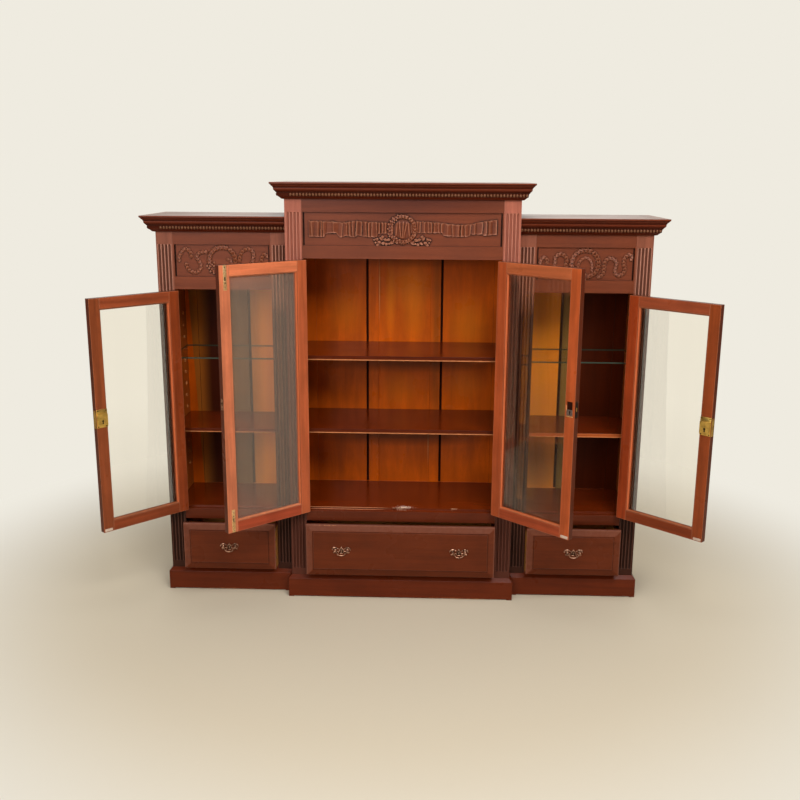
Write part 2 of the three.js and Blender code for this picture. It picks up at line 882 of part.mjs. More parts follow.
// A hinge's fixed leaf lies in the gap beside the pilaster, with its pin and two end knuckles
function hinges(label, hand, pinX, pinY, bay) {
  const rows = [
    ["lower", bay.doorLow + hingeInset],
    ["upper", bay.doorTop - hingeInset],
  ];
  for (const [place, level] of rows) {
    const low = level - hingeLength / 2;
    const high = level + hingeLength / 2;
    const wall = pinX + hand * (hingeGap / 2 - seat);
    const inner = wall - hand * leafThick;
    const leafFront = pinY + knuckleRadius + seat;
    let hinge = block(wall, inner, leafFront, pinY + pinOut + leafDepth, low, high);
    const at = (z) => new THREE.Vector3(pinX, pinY, z);
    hinge = hinge.add(rod(hingePinRadius, knuckleSides, at(low), at(high)));
    const split = middleKnuckle / 2 + seat;
    for (const [from, to] of [
      [low, level - split],
      [level + split, high],
    ]) {
      hinge = hinge.add(rod(knuckleRadius, knuckleSides, at(from), at(to)));
      hinge = hinge.add(block(wall, inner, pinY, leafFront + overrun, from, to));
    }
    addNode(`${label}_${place}_hinge`, hinge, brass);
  }
}

function makeDoors() {
  const specs = [
    { label: "left_wing", hand: -1, edge: wingOuterEdge, face: wingFace, far: wingDoorFar, bay: wing,
      open: leftWingAngle, lockLevel: wingLockLevel, hasBolt: true },
    { label: "left_centre", hand: -1, edge: centreEdge, face: centreFace, far: centreDoorFar, bay: centre,
      open: leftCentreAngle, strikeLevel: centreLockLevel },
    { label: "right_centre", hand: 1, edge: centreEdge, face: centreFace, far: centreDoorFar, bay: centre,
      open: rightCentreAngle, lockLevel: centreLockLevel, hasBolt: true },
    { label: "right_wing", hand: 1, edge: wingOuterEdge, face: wingFace, far: wingDoorFar, bay: wing,
      open: rightWingAngle, lockLevel: wingLockLevel, hasBolt: true },
  ];
  for (const spec of specs) {
    const pinX = spec.hand * (spec.edge - hingeGap / 2);
    const pinY = spec.face - pinOut;
    doorParts({ ...spec, pinX, pinY });
    hinges(spec.label, spec.hand, pinX, pinY, spec.bay);
  }
}

// Drawers: a front with a raised field, in one glued piece with its dovetailed box
function raisedFront(x0, x1, z0, z1, face) {
  const positions = [];
  for (const [inset, y] of [
    [0, face + frontThick],
    [0, face + bevelDepth],
    [bevelWidth, face],
  ]) {
    positions.push(x0 + inset, y, z0 + inset, x1 - inset, y, z0 + inset);
    positions.push(x1 - inset, y, z1 - inset, x0 + inset, y, z1 - inset);
  }
  const indices = [0, 1, 2, 0, 2, 3, 8, 10, 9, 8, 11, 10];
  for (const ring of [0, 4]) {
    for (let i = 0; i < 4; i += 1) {
      const a = ring + i;
      const b = ring + ((i + 1) % 4);
      indices.push(a, a + 4, b + 4, a, b + 4, b);
    }
  }
  const geometry = new THREE.BufferGeometry();
  geometry.setAttribute("position", new THREE.Float32BufferAttribute(positions, 3));
  geometry.setIndex(indices);
  return solidOf(geometry);
}

function drawer(name, x0, x1, face, bay, pull, pullPlaces) {
  const front = face - pull;
  const low = drawerLevel + seat;
  const top = bay.railLow - drawerGap;
  const back = insideBack - drawerBackGap - pull;
  const rim = top - drawerRimDrop;
  const root = front + frontThick - overrun;
  let body = raisedFront(x0, x1, low, top, front);
  body = body.add(block(x0, x1, root, back, low, rim));
  const inside = [x0 + drawerWall, x1 - drawerWall, front + frontThick, back - drawerWall];
  body = body.subtract(block(...inside, low + bottomLift + drawerBottom, rim + overrun));
  body = body.subtract(block(...inside, low - overrun, low + bottomLift));
  addNode(name, body, wood);
  pullPlaces.forEach(([label, x]) => pullAt(label, x, front, (low + top) / 2));
}

// The brass pull at one place on a drawer front
function pullAt(label, x, front, level) {
  const plateBack = front - seat;
  const outline = [
    ...plateShares,
    ...plateShares.slice(1, -1).reverse().map(([outShare, upShare]) => [-outShare, upShare]),
  ];
  const shape = new THREE.Shape(
    outline.map(
      ([outShare, upShare]) =>
        new THREE.Vector2(outShare * plateHalfWidth, upShare * plateHalfHeight),
    ),
  );
  const sheet = new THREE.ExtrudeGeometry(shape, { depth: plateThick, bevelEnabled: false });
  sheet.rotateX(Math.PI / 2).translate(x, plateBack, level);
  let plate = solidOf(sheet);
  const axisY = plateBack - plateThick - postLength + postRadius;
  const axisZ = level + postLevel;
  for (const side of [-1, 1]) {
    const postX = x + (side * postSpread) / 2;
    const foot = new THREE.Vector3(postX, plateBack - plateThick / 2, axisZ);
    const head = new THREE.Vector3(postX, plateBack - plateThick - postLength, axisZ);
    plate = plate.add(rod(postRadius, postSides, foot, head));
    const from = new THREE.Vector3(postX - postRadius - overrun, axisY, axisZ);
    const to = new THREE.Vector3(postX + postRadius + overrun, axisY, axisZ);
    plate = plate.subtract(rod(bailBore, postSides, from, to));
  }
  addNode(`${label}_pull_plate`, plate, agedBrass);

  const half = bailShares.map(
    ([flareShare, dropShare]) =>
      new THREE.Vector3(
        x + postSpread / 2 + flareShare * bailFlare,
        axisY,
        axisZ - dropShare * bailDrop,
      ),
  );
  const start = new THREE.Vector3(x + postSpread / 2 - postRadius / 2, axisY, axisZ);
  const right = [start, ...half];
  const left = right.map((point) => new THREE.Vector3(x - (point.x - x), point.y, point.z));
  const path = new THREE.CatmullRomCurve3([...right, ...left.reverse()], false, "catmullrom", 0.5);
  addNode(`${label}_bail`, tube(bailRadius, bailSides, path, bailSteps), agedBrass);
}

function makeDrawers() {
  const half = centreEdge - drawerGap;
  const spread = pullSpread / 2;
  const pulls = [
    ["centre_left", -spread],
    ["centre_right", spread],
  ];
  drawer("centre_drawer", -half, half, centreFace, centre, centreDrawerPull, pulls);
  for (const [side, label] of bothSides) {
    const limits = [side * (wingInnerEdge + drawerGap), side * (wingOuterEdge - drawerGap)];
    limits.sort((a, b) => a - b);
    const middle = (limits[0] + limits[1]) / 2;
    drawer(`${label}_drawer`, ...limits, wingFace, wing, wingDrawerPull, [[label, middle]]);
  }
}

makePlinth();
makeSides();
makePilasters();
makeFriezes();
makeCaps();
makeFloors();
makeBack();
makeShelves();
makeDoors();
makeDrawers();

export default bookcase;
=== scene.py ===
import math
from functools import partial

import bmesh
import bpy
import numpy as np
from mathutils import Matrix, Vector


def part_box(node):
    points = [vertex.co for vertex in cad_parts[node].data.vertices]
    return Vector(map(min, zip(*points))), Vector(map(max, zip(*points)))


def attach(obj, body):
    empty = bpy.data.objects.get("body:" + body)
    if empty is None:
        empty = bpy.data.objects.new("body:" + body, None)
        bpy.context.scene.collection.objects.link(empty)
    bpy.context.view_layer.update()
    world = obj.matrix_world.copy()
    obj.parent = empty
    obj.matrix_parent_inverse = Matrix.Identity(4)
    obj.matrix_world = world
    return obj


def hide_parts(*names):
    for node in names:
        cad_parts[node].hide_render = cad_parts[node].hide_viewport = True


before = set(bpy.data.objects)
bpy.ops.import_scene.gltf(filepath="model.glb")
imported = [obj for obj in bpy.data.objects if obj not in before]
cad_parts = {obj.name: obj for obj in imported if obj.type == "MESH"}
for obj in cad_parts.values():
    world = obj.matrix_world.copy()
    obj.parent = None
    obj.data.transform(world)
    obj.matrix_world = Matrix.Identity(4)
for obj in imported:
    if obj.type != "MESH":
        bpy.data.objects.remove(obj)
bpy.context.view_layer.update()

MM = 0.001

# Carcass: the same planes and levels as the model
CENTRE_HALF, WING_OUTER = 445.0, 954.0
CENTRE_FACE, WING_FACE, BACK = -376.0, -322.0, 10.0
CENTRE_TOP, WING_TOP = 1666.0, 1538.0
CENTRE_EDGE, WING_EDGE_IN, WING_EDGE_OUT = 381.0, 509.3, 890.0
BOARD, FACE_BOARD, SEAT = 20.0, 22.0, 0.3
# The sides stand on the plinth at STAND and, in the wings, reach up to WING_ROOF; the centre's end at BACK_SHEET
STAND, WING_ROOF, BACK_SHEET = 92.3, 1517.7, -2.3
# How far the columns of pin holes are from a bay's face, and from the back boards
PIN_FRONT, PIN_INSET = 76, 46
PIN_OUT, HINGE_GAP = 4.5, 3.0
# Faces on each of the six sides of a board whose edges are worn
CELLS = 9
DOOR_THICK, STILE, RAIL, SIGHT = 24.0, 48.0, 46.0, 6.0
INSIDE = PIN_OUT + DOOR_THICK
FAR_CENTRE, FAR_WING = 378.0, 377.7
# Each bay's face and levels: its floor, its opening's top, its frieze panel, its top, its shelf pins, and the
# lowest and highest pin hole
CENTRE = {"face": CENTRE_FACE, "floor": 377.0, "opening": 1383.0, "panel": (1432.0, 1556.0), "top": CENTRE_TOP,
          "pins": (980.7, 684.7), "holes": (470, 1290)}
WING = {"face": WING_FACE, "floor": 357.0, "opening": 1255.0, "panel": (1304.0, 1428.0), "top": WING_TOP,
        "pins": (969.7, 666.7), "holes": (450, 1170)}
DOORS = {
    "left_wing": dict(hand=-1, edge=WING_EDGE_OUT, far=FAR_WING, bay=WING, angle=133.0),
    "left_centre": dict(hand=-1, edge=CENTRE_EDGE, far=FAR_CENTRE, bay=CENTRE, angle=137.5),
    "right_centre": dict(hand=1, edge=CENTRE_EDGE, far=FAR_CENTRE, bay=CENTRE, angle=136.5),
    "right_wing": dict(hand=1, edge=WING_EDGE_OUT, far=FAR_WING, bay=WING, angle=136.0),
}


# ---------- materials ----------
def linear(code, factor=1.0):
    """An sRGB hex colour as the linear colour that shader sockets take, darkened or lightened by a factor."""
    share = [int(code[i : i + 2], 16) / 255 for i in (1, 3, 5)]
    plain = [c / 12.92 if c <= 0.04045 else ((c + 0.055) / 1.055) ** 2.4 for c in share]
    return (*[min(c * factor, 1.0) for c in plain], 1.0)


def add(tree, kind, values=(), stops=(), **settings):
    """One shader node. settings are its own properties. values are its sockets, in their own order or by name; a
    value that is another node, or one of its outputs, is linked. stops are a colour ramp's (place, colour)
    pairs."""
    made = tree.nodes.new("ShaderNode" + kind)
    for key, value in settings.items():
        setattr(made, key, value)
    for _ in stops[2:]:
        made.color_ramp.elements.new(0.5)
    for k, (place, colour) in enumerate(stops):
        made.color_ramp.elements[k].position = place
        made.color_ramp.elements[k].color = colour
    if not isinstance(values, dict):
        values = dict(zip([k for k, socket in enumerate(made.inputs) if socket.enabled], values))
    for socket, value in values.items():
        if isinstance(value, bpy.types.Node):
            value = next(output for output in value.outputs if output.enabled)
        if isinstance(value, bpy.types.NodeSocket):
            tree.links.new(value, made.inputs[socket])
        else:
            made.inputs[socket].default_value = value
    return made


def new_material(name):
    """An empty material, and the function that adds a node to it."""
    material = bpy.data.materials.new(name)
    material.use_nodes = True
    material.node_tree.nodes.clear()
    return material, partial(add, material.node_tree)


def far_from(node, place, centre, reach):
    """Distance from a centre in millimetres, 1 where it equals the reach along an axis."""
    near = node("Mapping", {"Vector": place, "Location": [-c / r for c, r in zip(centre, reach)],
                            "Scale": [1000 / r for r in reach]})
    return node("VectorMath", [near], operation="LENGTH")


def timber(name, middle, rough=0.3, shine=0.15, streak_mm=15.0, contrast=0.3, bump=0.04, worn="#a0603e", chips=(),
           stains_and_light=(), foot=None):
    """Finished timber. The board attribute holds metres along the grain, across it and through it; the
    wear_and_light attribute is below 0 in hollows, where old wax stays dark, and above 0 on edges, where the stain
    is rubbed off; on some pieces it also holds painted shade below 0 and painted highlights above 0. Each of
    chips is a centre, a reach along each axis, a share and a colour: finish flaked inside an ellipsoid;
    stains_and_light are the same with soft edges, mostly painted pools of light and painted shadows, a few real
    marks. foot is a low and a high level, a share and a colour: below the low level the colour is painted over with
    that colour, fading out up to the high level, as painted shade, and the rubbing shows less there."""
    material, node = new_material(name)
    paint, multiply = dict(data_type="RGBA"), dict(operation="MULTIPLY")
    board = node("Attribute", attribute_name="board").outputs["Vector"]
    wear_and_light = node("Attribute", attribute_name="wear_and_light").outputs["Fac"]
    # Growth figure: streaks that run for about 300 mm
    wide = node("Mapping", {"Vector": board, "Scale": (3.0, 1000 / streak_mm, 1000 / streak_mm)})
    figure = node("TexNoise", {"Vector": wide, "Scale": 1.0, "Detail": 3.0, "Roughness": 0.6, "Distortion": 0.3})
    # Open pores, drawn about 1.2 mm wide and 20 mm long, coarser than the real 0.2 mm so that they show
    fine = node("Mapping", {"Vector": board, "Scale": (50.0, 820.0, 820.0)})
    pores = node("TexNoise", {"Vector": fine, "Scale": 1.0, "Detail": 2.0})
    pore = node("MapRange", [pores, 0.56, 0.7])
    # Uneven stain and age, in patches about 150 mm across
    patch = node("TexNoise", {"Vector": board, "Scale": 6.5, "Detail": 3.0, "Roughness": 0.55})
    spread = node("MapRange", [figure, 0.5 - 0.15 / contrast, 0.5 + 0.15 / contrast])
    colour = node("ValToRGB", [spread],
                  stops=[(0.0, linear(middle, 0.6)), (0.5, linear(middle)), (1.0, linear(middle, 1.4))])
    uneven = node("MapRange", [patch, 0.48, 0.75, 0.0, min(0.5, 1.6 * contrast)])
    colour = node("Mix", [uneven, colour, linear(middle, 0.6)], **paint)
    colour = node("Mix", [node("Math", [pore, 0.3], **multiply), colour, linear(middle, 0.45)], **paint)
    place = node("TexCoord").outputs["Object"]
    # Soft marks: mostly painted pools of light and painted shadows, a few real marks
    for centre, reach, share, code in stains_and_light:
        soft = node("MapRange", [far_from(node, place, centre, reach), 1.0, 0.25, 0.0, share])
        colour = node("Mix", [soft, colour, linear(code)], **paint)
    rub = node("TexNoise", {"Vector": board, "Scale": 70.0, "Detail": 3.0})
    rubbed = node("Math", [node("MapRange", [wear_and_light, 0.05, 1.0]), node("MapRange", [rub, 0.3, 0.7, 0.5, 0.75])],
                  **multiply)
    # Painted shade: below the foot's levels the colour is painted over darker and the rubbing shows less
    if foot:
        low, high, share, code = foot
        level = node("SeparateXYZ", [place]).outputs["Z"]
        below = node("MapRange", [level, high * MM, low * MM])
        colour = node("Mix", [node("Math", [below, share], **multiply), colour, linear(code)], **paint)
        rubbed = node("Math", [rubbed, node("MapRange", [below, 0.0, 1.0, 1.0, 0.18])], **multiply)
    # The worn colour shows where rubbed and where highlights are painted; below 0 the dark of old wax and of painted
    # shade
    colour = node("Mix", [rubbed, colour, linear(worn)], **paint)
    colour = node("Mix", [node("MapRange", [wear_and_light, 0.0, -1.0, 0.0, 0.9]), colour, linear("#160603")], **paint)
    for centre, reach, share, pale in chips:
        away = far_from(node, place, centre, reach)
        flake = node("TexNoise", {"Vector": place, "Scale": 170.0, "Detail": 4.0, "Roughness": 0.7})
        lift = node("Math", [node("MapRange", [away, 1.0, 0.0]), 0.3, flake], operation="MULTIPLY_ADD")
        limit = 0.8 - 0.25 * share
        flaked = node("Math", [node("MapRange", [lift, limit, limit + 0.03]), node("MapRange", [away, 1.0, 0.9])],
                      **multiply)
        colour = node("Mix", [flaked, colour, linear(pale)], **paint)
    gloss = node("MapRange", [patch, 0.3, 0.7, rough - 0.05, rough + 0.06])
    relief = node("Bump", {"Height": pore, "Strength": 0.3, "Distance": -bump * MM})
    shader = node("BsdfPrincipled", {"Base Color": colour, "Roughness": gloss, "IOR": 1.5,
                                     "Specular IOR Level": shine, "Normal": relief})
    node("OutputMaterial", {"Surface": shader})
    return material


def cast_metal(name, bright, tarnish, rough=0.3, spot_mm=6.0):
    """Cast or rolled brass that was lacquered and has tarnished in spots; hollows are darker by the wear
    attribute."""
    material, node = new_material(name)
    place = node("TexCoord").outputs["Object"]
    wear_and_light = node("Attribute", attribute_name="wear_and_light").outputs["Fac"]
    spots = node("TexNoise", {"Vector": place, "Scale": 1000 / spot_mm, "Detail": 4.0})
    share = node("MapRange", [spots, 0.42, 0.68])
    colour = node("Mix", [share, linear(bright), linear(tarnish)], data_type="RGBA")
    colour = node("Mix", [node("MapRange", [wear_and_light, 0.0, -1.0]), colour, linear(tarnish)], data_type="RGBA")
    gloss = node("MapRange", [share, 0.0, 1.0, rough, rough + 0.2])
    relief = node("Bump", {"Height": spots, "Strength": 0.2, "Distance": 0.1 * MM})
    shader = node("BsdfPrincipled", {"Base Color": colour, "Metallic": 1.0, "Roughness": gloss, "Normal": relief})
    node("OutputMaterial", {"Surface": shader})
    return material


def sheet_glass(name, tint, clean, painted_reflection=0.0):
    """Old drawn sheet glass: clear, with a slow waviness. The cleaner it is, the fainter its reflections, and
    painted_reflection veils it with a pale matt layer, a painted reflection of the pale surroundings. Its shadow is
    left clear, as real window glass throws almost none."""
    material, node = new_material(name)
    place = node("TexCoord").outputs["Object"]
    wave = node("TexNoise", {"Vector": place, "Scale": 1000 / 90, "Detail": 1.0})
    relief = node("Bump", {"Height": wave, "Strength": 0.15, "Distance": 0.5 * MM})
    surface = node("BsdfPrincipled", {"Base Color": linear(tint), "Roughness": 0.0, "IOR": 1.5,
                                      "Transmission Weight": 1.0, "Specular IOR Level": 0.3, "Normal": relief})
    clear = node("BsdfTransparent", [linear("#fefcf7")])
    ray = node("LightPath").outputs
    unlit = node("Math", [ray["Is Shadow Ray"], ray["Is Diffuse Ray"]], operation="MAXIMUM")
    share = node("Math", [unlit, clean], operation="MAXIMUM")
    # A pale matt veil over the pane: a painted reflection
    if painted_reflection:
        veil = node("BsdfPrincipled", {"Base Color": linear("#dcc6b4"), "Roughness": 0.9})
        surface = node("MixShader", [painted_reflection, surface, veil])
    node("OutputMaterial", {"Surface": node("MixShader", [share, surface, clear])})
    return material


def on_back(*rows):
    """Soft marks on the back boards, from rows of x, z, half width, half height, share and colour: mostly painted
    pools of light and painted shadows.
    """
    return [((x, 0, z), (wide, 60, high), share, code) for x, z, wide, high, share, code in rows]


# French polished mahogany of the carcass: deep red-brown under a thin hard gloss
CARCASS = timber("french_polished_mahogany", "#5a2410", worn="#7d4634")
PLINTH_WOOD = timber("scuffed_french_polished_mahogany", "#5e230c", worn="#7d4634",
                     chips=[((230, CENTRE_FACE - 13, 3), (240, 8, 5), 0.55, "#a8683c"),
                            ((-720, WING_FACE - 13, 3), (200, 8, 5), 0.5, "#a8683c")])
# The same stain where the polish has dulled and greyed, on friezes, with painted shade along the centre's upper
# rail, under the crown
FRIEZE_WOOD = timber("dulled_french_polished_mahogany", "#6c331c", rough=0.42, shine=0.2, worn="#ac745a",
                     stains_and_light=[((0, CENTRE_FACE, 1648), (620, 90, 130), 0.85, "#3f1204")])
# Dark glossy stain of the crowns
CAP_WOOD = timber("french_polished_crown_mahogany", "#4c1604", rough=0.32, shine=0.12, worn="#8a4830")
ROW_WOOD = timber("rubbed_bead_row_mahogany", "#4e1e0c", rough=0.36, shine=0.14, worn="#b08462")
# The tops are painted pale and grey: a painted reflection of the pale surroundings seen at a glancing angle
TOP_WOOD = timber("dusty_top_board_mahogany", "#94786a", rough=0.45, shine=0.6, bump=0.001, contrast=0.15)
# Pilasters, lighter than the carcass above the doors, a painted sheen that is strongest on the centre ones; below
# the doors' tops they are painted over dark, a painted shadow of the open doors
PILASTER_WOODS = {
    "centre": timber("painted_sheen_and_shade_pilaster_mahogany", "#a05a46", rough=0.42, shine=0.18, worn="#c8937e",
                     foot=(1290, 1380, 0.86, "#351206")),
    "wing": timber("french_polished_pilaster_mahogany", "#824a36", rough=0.42, shine=0.16, worn="#b98874",
                   foot=(1160, 1250, 0.9, "#260c03")),
}
# Inner faces of the doors, less stained and so more orange: hinge stile, free stile, lower and upper rail. The
# colours also hold painted light: the left centre door, which faces the light, is lightest, and every upper rail
# is lighter, a painted sheen
DOOR_WOODS = {
    name: dict(zip(("hinge_stile", "free_stile", "lower_rail", "upper_rail"),
                   [timber(f"{name}_door_mahogany_{k + 1}", code, worn="#d08a64", contrast=0.5, streak_mm=20.0)
                    for k, code in enumerate(codes)]))
    for name, codes in {
        "left_wing": ("#853919", "#813f21", "#7c381c", "#8c4225"),
        "left_centre": ("#aa5431", "#c06d4a", "#a04328", "#cc7049"),
        "right_centre": ("#a14925", "#a84d25", "#943f22", "#a95833"),
        "right_wing": ("#8c3514", "#833b1a", "#783216", "#8a4126"),
    }.items()
}
PALE_CHIP = timber("broken_pale_mahogany", "#d08a58", shine=0.05, rough=0.7)
# Glazing beads, lighter than the stiles: a painted highlight along the glass
BEAD_WOOD = timber("glazing_bead_mahogany", "#b4552f", worn="#cf7a50")
# Shelves, stained and varnished; their front edges carry a painted highlight along the foot
SHELF_WOOD = timber("varnished_shelf_mahogany", "#662204", shine=0.45, rough=0.2, bump=0.01)
SHELF_EDGE = timber("rubbed_shelf_edge_mahogany", "#521c08", shine=0.07, worn="#ea9660")
# The right wing's shelf edge is a lighter copy, painted light, as it catches more light, with a painted highlight
# over the whole edge
LIT_EDGE = timber("lit_shelf_edge_mahogany", "#a04c20", shine=0.1, worn="#ea9660")
# Inner faces of the carcass, varnished without stain
INNER_WOOD = timber("varnished_inner_mahogany", "#9c4e1a", rough=0.34)
# Back boards of a paler wood, varnished to amber, with painted pools of light, painted shadows under the top and
# the shelves, a darker band down the right muntin and two thin pale worn lines by the muntins. In the wings the
# inner boards are a lit copy, painted light, and the outer boards shaded copies, painted shade
BACK_WOOD = timber("amber_varnished_back_boards", "#c25406", rough=0.3, streak_mm=45.0, contrast=0.4, stains_and_light=on_back(
    (25, 1250, 95, 130, 0.5, "#e07a1c"), (40, 1130, 60, 150, 0.35, "#dd7a0c"),
    (-60, 1190, 26, 190, 0.45, "#dc7c10"), (-20, 800, 90, 90, 0.35, "#d8700c"),
    (-250, 1130, 90, 120, 0.4, "#d8720c"), (270, 1080, 100, 140, 0.45, "#dc780e"),
    (260, 820, 90, 90, 0.3, "#d8720c"), (135, 1100, 24, 700, 0.5, "#6e4012"),
    (-107, 1230, 3, 170, 0.6, "#e8a468"), (106, 560, 4, 120, 0.7, "#c8804a"),
    (0, 1352, 470, 40, 0.5, "#4c2408"), (0, 912, 470, 48, 0.7, "#4c2408"), (0, 590, 470, 55, 0.75, "#40200a")))
# The left muntin, with painted shadows under the shelves
MUNTIN_WOOD = timber("golden_varnished_muntin", "#cf6a10", rough=0.34, streak_mm=40.0, stains_and_light=on_back(
    (-131, 590, 40, 60, 0.7, "#5a300e"), (-131, 912, 40, 48, 0.7, "#5a300e")))
# The wings' inner boards, a lit copy: painted light, with painted pools of light and a painted shadow strip
GOLD_BACK = timber("golden_varnished_wing_back_boards", "#ff961c", rough=0.34, streak_mm=45.0, contrast=0.14,
                   stains_and_light=on_back((590, 700, 150, 260, 0.4, "#e08a44"), (590, 420, 150, 150, 0.6, "#a06a3c"),
                                  (-560, 850, 110, 700, 0.6, "#e88450"), (-662, 850, 60, 1200, 0.6, "#6e4a28")))
# The right wing's outer boards, a shaded copy: painted shade, with the muntin painted less dark
DARK_BACK = timber("dark_varnished_back_boards", "#421402", rough=0.36, shine=0.08, streak_mm=24.0,
                   stains_and_light=on_back((690, 800, 50, 1500, 0.95, "#8a6a34")))
# The left wing's outer boards, painted shade: the outer stile lighter, the panel beside it darkest
SHADED_BACK = timber("shaded_left_outer_back_boards", "#6a4c2c", rough=0.4, shine=0.08, stains_and_light=on_back(
    (-884, 800, 62, 1500, 0.9, "#a05a1c"), (-818, 800, 66, 1500, 0.97, "#3a0e02")))
# The rear was never finished
REAR_WOOD = timber("bare_rear_boards", "#8c6246", rough=0.75, shine=0.05, streak_mm=30.0, contrast=0.45,
                   worn="#b8926a")
# Drawer sides of unstained secondary wood
DRAWER_WOOD = timber("unstained_drawer_side_wood", "#b87c3e", rough=0.6, shine=0.1)
DRAWER_FACE = timber("drawer_front_mahogany", "#5d260f", worn="#8f5f4e",
                     chips=[((-300, CENTRE_FACE - 48, 325), (80, 6, 3), 0.9, "#b98058"),
                            ((-60, CENTRE_FACE - 48, 325), (120, 6, 3), 0.5, "#a8683c"),
                            ((560, WING_FACE - 58, 305), (40, 6, 3), 0.8, "#b98058")])
# Painted shade: the dark wood of the back's gaps and rear face, of the pin holes and of the lock's pocket
SHADOW_WOOD = timber("dark_joint_wood", "#280e06", rough=0.7, shine=0.05)
# Floor of the centre, its varnish chipped to pale wood at the front edge
FLOOR_WOOD = timber("chipped_floor_mahogany", "#702604", shine=0.45, rough=0.2, bump=0.01,
                    chips=[((14, -340, 377), (60, 30, 14), 0.45, "#f6dcc6"),
                           ((0, -350, 374), (40, 8, 9), 0.8, "#e8c0a0"),
                           ((-240, -351.7, 375), (210, 7, 8), 2.0, "#cf8c60"),
                           ((215, -350, 376), (26, 8, 8), 0.6, "#dcae88")])
BRASS = cast_metal("lacquered_brass", "#ecc468", "#b8924a", spot_mm=22)
PALE_BRASS = cast_metal("rubbed_pale_brass", "#f4cf98", "#c89a64", rough=0.4)
OLD_BRASS = cast_metal("tarnished_cast_brass", "#c8987c", "#46342a", rough=0.34, spot_mm=9.0)
DARK_METAL = cast_metal("darkened_steel", "#3a302a", "#1c1512", rough=0.4)
STEEL = cast_metal("worn_steel", "#8f817b", "#6c5c58", rough=0.35)
GLASS = sheet_glass("drawn_sheet_glass", "#fffaf2", 0.84)
# The left centre door's pane is veiled pale: a painted reflection
REFLECTION_VEILED_GLASS = sheet_glass("dusty_sheet_glass", "#f4f0ea", 0.86, painted_reflection=0.55)
# Ground edge of the glass shelves, a dull dark green
GLASS_EDGE = timber("ground_glass_edge", "#2c3a2d", rough=0.5, shine=0.25)
PAD = timber("pale_felt_pad", "#c9b09c", rough=0.8, shine=0.05)


# ---------- surfaces ----------
def quads(rows, columns, close_columns=False, start=0):
    """Corner numbers of the four-sided faces of a rows by columns grid of points, stored row by row."""
    i = np.arange(rows - 1)[:, None]
    j = np.arange(columns if close_columns else columns - 1)[None, :]
    ahead = (j + 1) % columns
    corners = [i * columns + j, i * columns + ahead, (i + 1) * columns + ahead, (i + 1) * columns + j]
    return np.stack([np.broadcast_to(c, (rows - 1, j.shape[1])) for c in corners], -1).reshape(-1, 4) + start


def turn_about(points, angle_deg, centre):
    """Points turned about a vertical line through centre = (x, y)."""
    a = math.radians(angle_deg)
    out = np.array(points, float)
    x, y = out[..., 0] - centre[0], out[..., 1] - centre[1]
    out[..., 0] = centre[0] + x * math.cos(a) - y * math.sin(a)
    out[..., 1] = centre[1] + x * math.sin(a) + y * math.cos(a)
    return out


def boards_of(points, axis, name):
    """Board coordinates: the grain axis first, then the other two, moved by an amount of the piece's own."""
    order = [axis] + [k for k in range(3) if k != axis]
    seed = sum((i + 1) * ord(c) for i, c in enumerate(name)) % 997
    return np.asarray(points, float)[:, order] + np.array([seed * 3.1, seed * 1.7, seed * 0.9])


def points_of(mesh):
    """A mesh's points in millimetres."""
    points = np.empty(len(mesh.vertices) * 3)
    mesh.vertices.foreach_get("co", points)
    return points.reshape(-1, 3) / MM


def placed(name, data):
    """A new object in the scene."""
    made = bpy.data.objects.new(name, data)
    bpy.context.collection.objects.link(made)
    return made


def capped(rings, steps):
    """Faces of a closed piece made of rings of points: the quads between them, and the two end rings."""
    last = (rings - 1) * steps
    ends = [list(range(steps))[::-1], [last + k for k in range(steps)]]
    return quads(rings, steps, close_columns=True).tolist() + ends


def piece(name, solid, material, body="case", boards=None, axis=2, soften=0.0, smooth=None, slot="mahogany",
          place=None, replaces=(), outward=False, extra=(), marks=None):
    """A piece from a solid: its points in millimetres, its faces and, if it has them, its points' shares of
    rubbing or dirt, and on some pieces of painted light and shade. soften rounds its edges; smooth is the angle, in
    degrees, below which faces shade as one. place moves the points once their board coordinates are taken; outward
    turns every face of a closed piece outwards; marks numbers each face's material among the first and the extra
    ones."""
    points, faces, *wear_and_light = solid
    points = np.asarray(points, float)
    if boards is None:
        boards = boards_of(points, axis, name)
    if place is not None:
        points = place(points)
    mesh = bpy.data.meshes.new(name)
    mesh.from_pydata((points * MM).tolist(), [], [list(face) for face in faces])
    layer = mesh.attributes.new("board", "FLOAT_VECTOR", "POINT")
    layer.data.foreach_set("vector", (np.asarray(boards) * MM).astype(np.float32).ravel())
    if wear_and_light:
        layer = mesh.attributes.new("wear_and_light", "FLOAT", "POINT")
        layer.data.foreach_set("value", np.asarray(wear_and_light[0], np.float32).ravel())
    if outward:
        work = bmesh.new()
        work.from_mesh(mesh)
        bmesh.ops.recalc_face_normals(work, faces=work.faces)
        work.to_mesh(mesh)
        work.free()
    for each in (material, *extra):
        mesh.materials.append(each)
    if marks is not None:
        mesh.polygons.foreach_set("material_index", np.asarray(marks, np.int32))
    return finish_piece(name, mesh, body, soften, smooth, replaces)


def finish_piece(name, mesh, body, soften, smooth, replaces):
    """Shades a mesh, eases its edges, and gives it its body and the model's nodes that it replaces."""
    if smooth is not None:
        mesh.shade_smooth()
        mesh.set_sharp_from_angle(angle=math.radians(smooth))
    mesh.update()
    made = placed(name, mesh)
    if soften:
        ease = made.modifiers.new("eased_edges", "BEVEL")
        ease.width = soften * MM
        ease.segments = 2
        ease.limit_method = "ANGLE"
        ease.angle_limit = math.radians(35)
    if replaces:
        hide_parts(*replaces)
    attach(made, body)
    return made


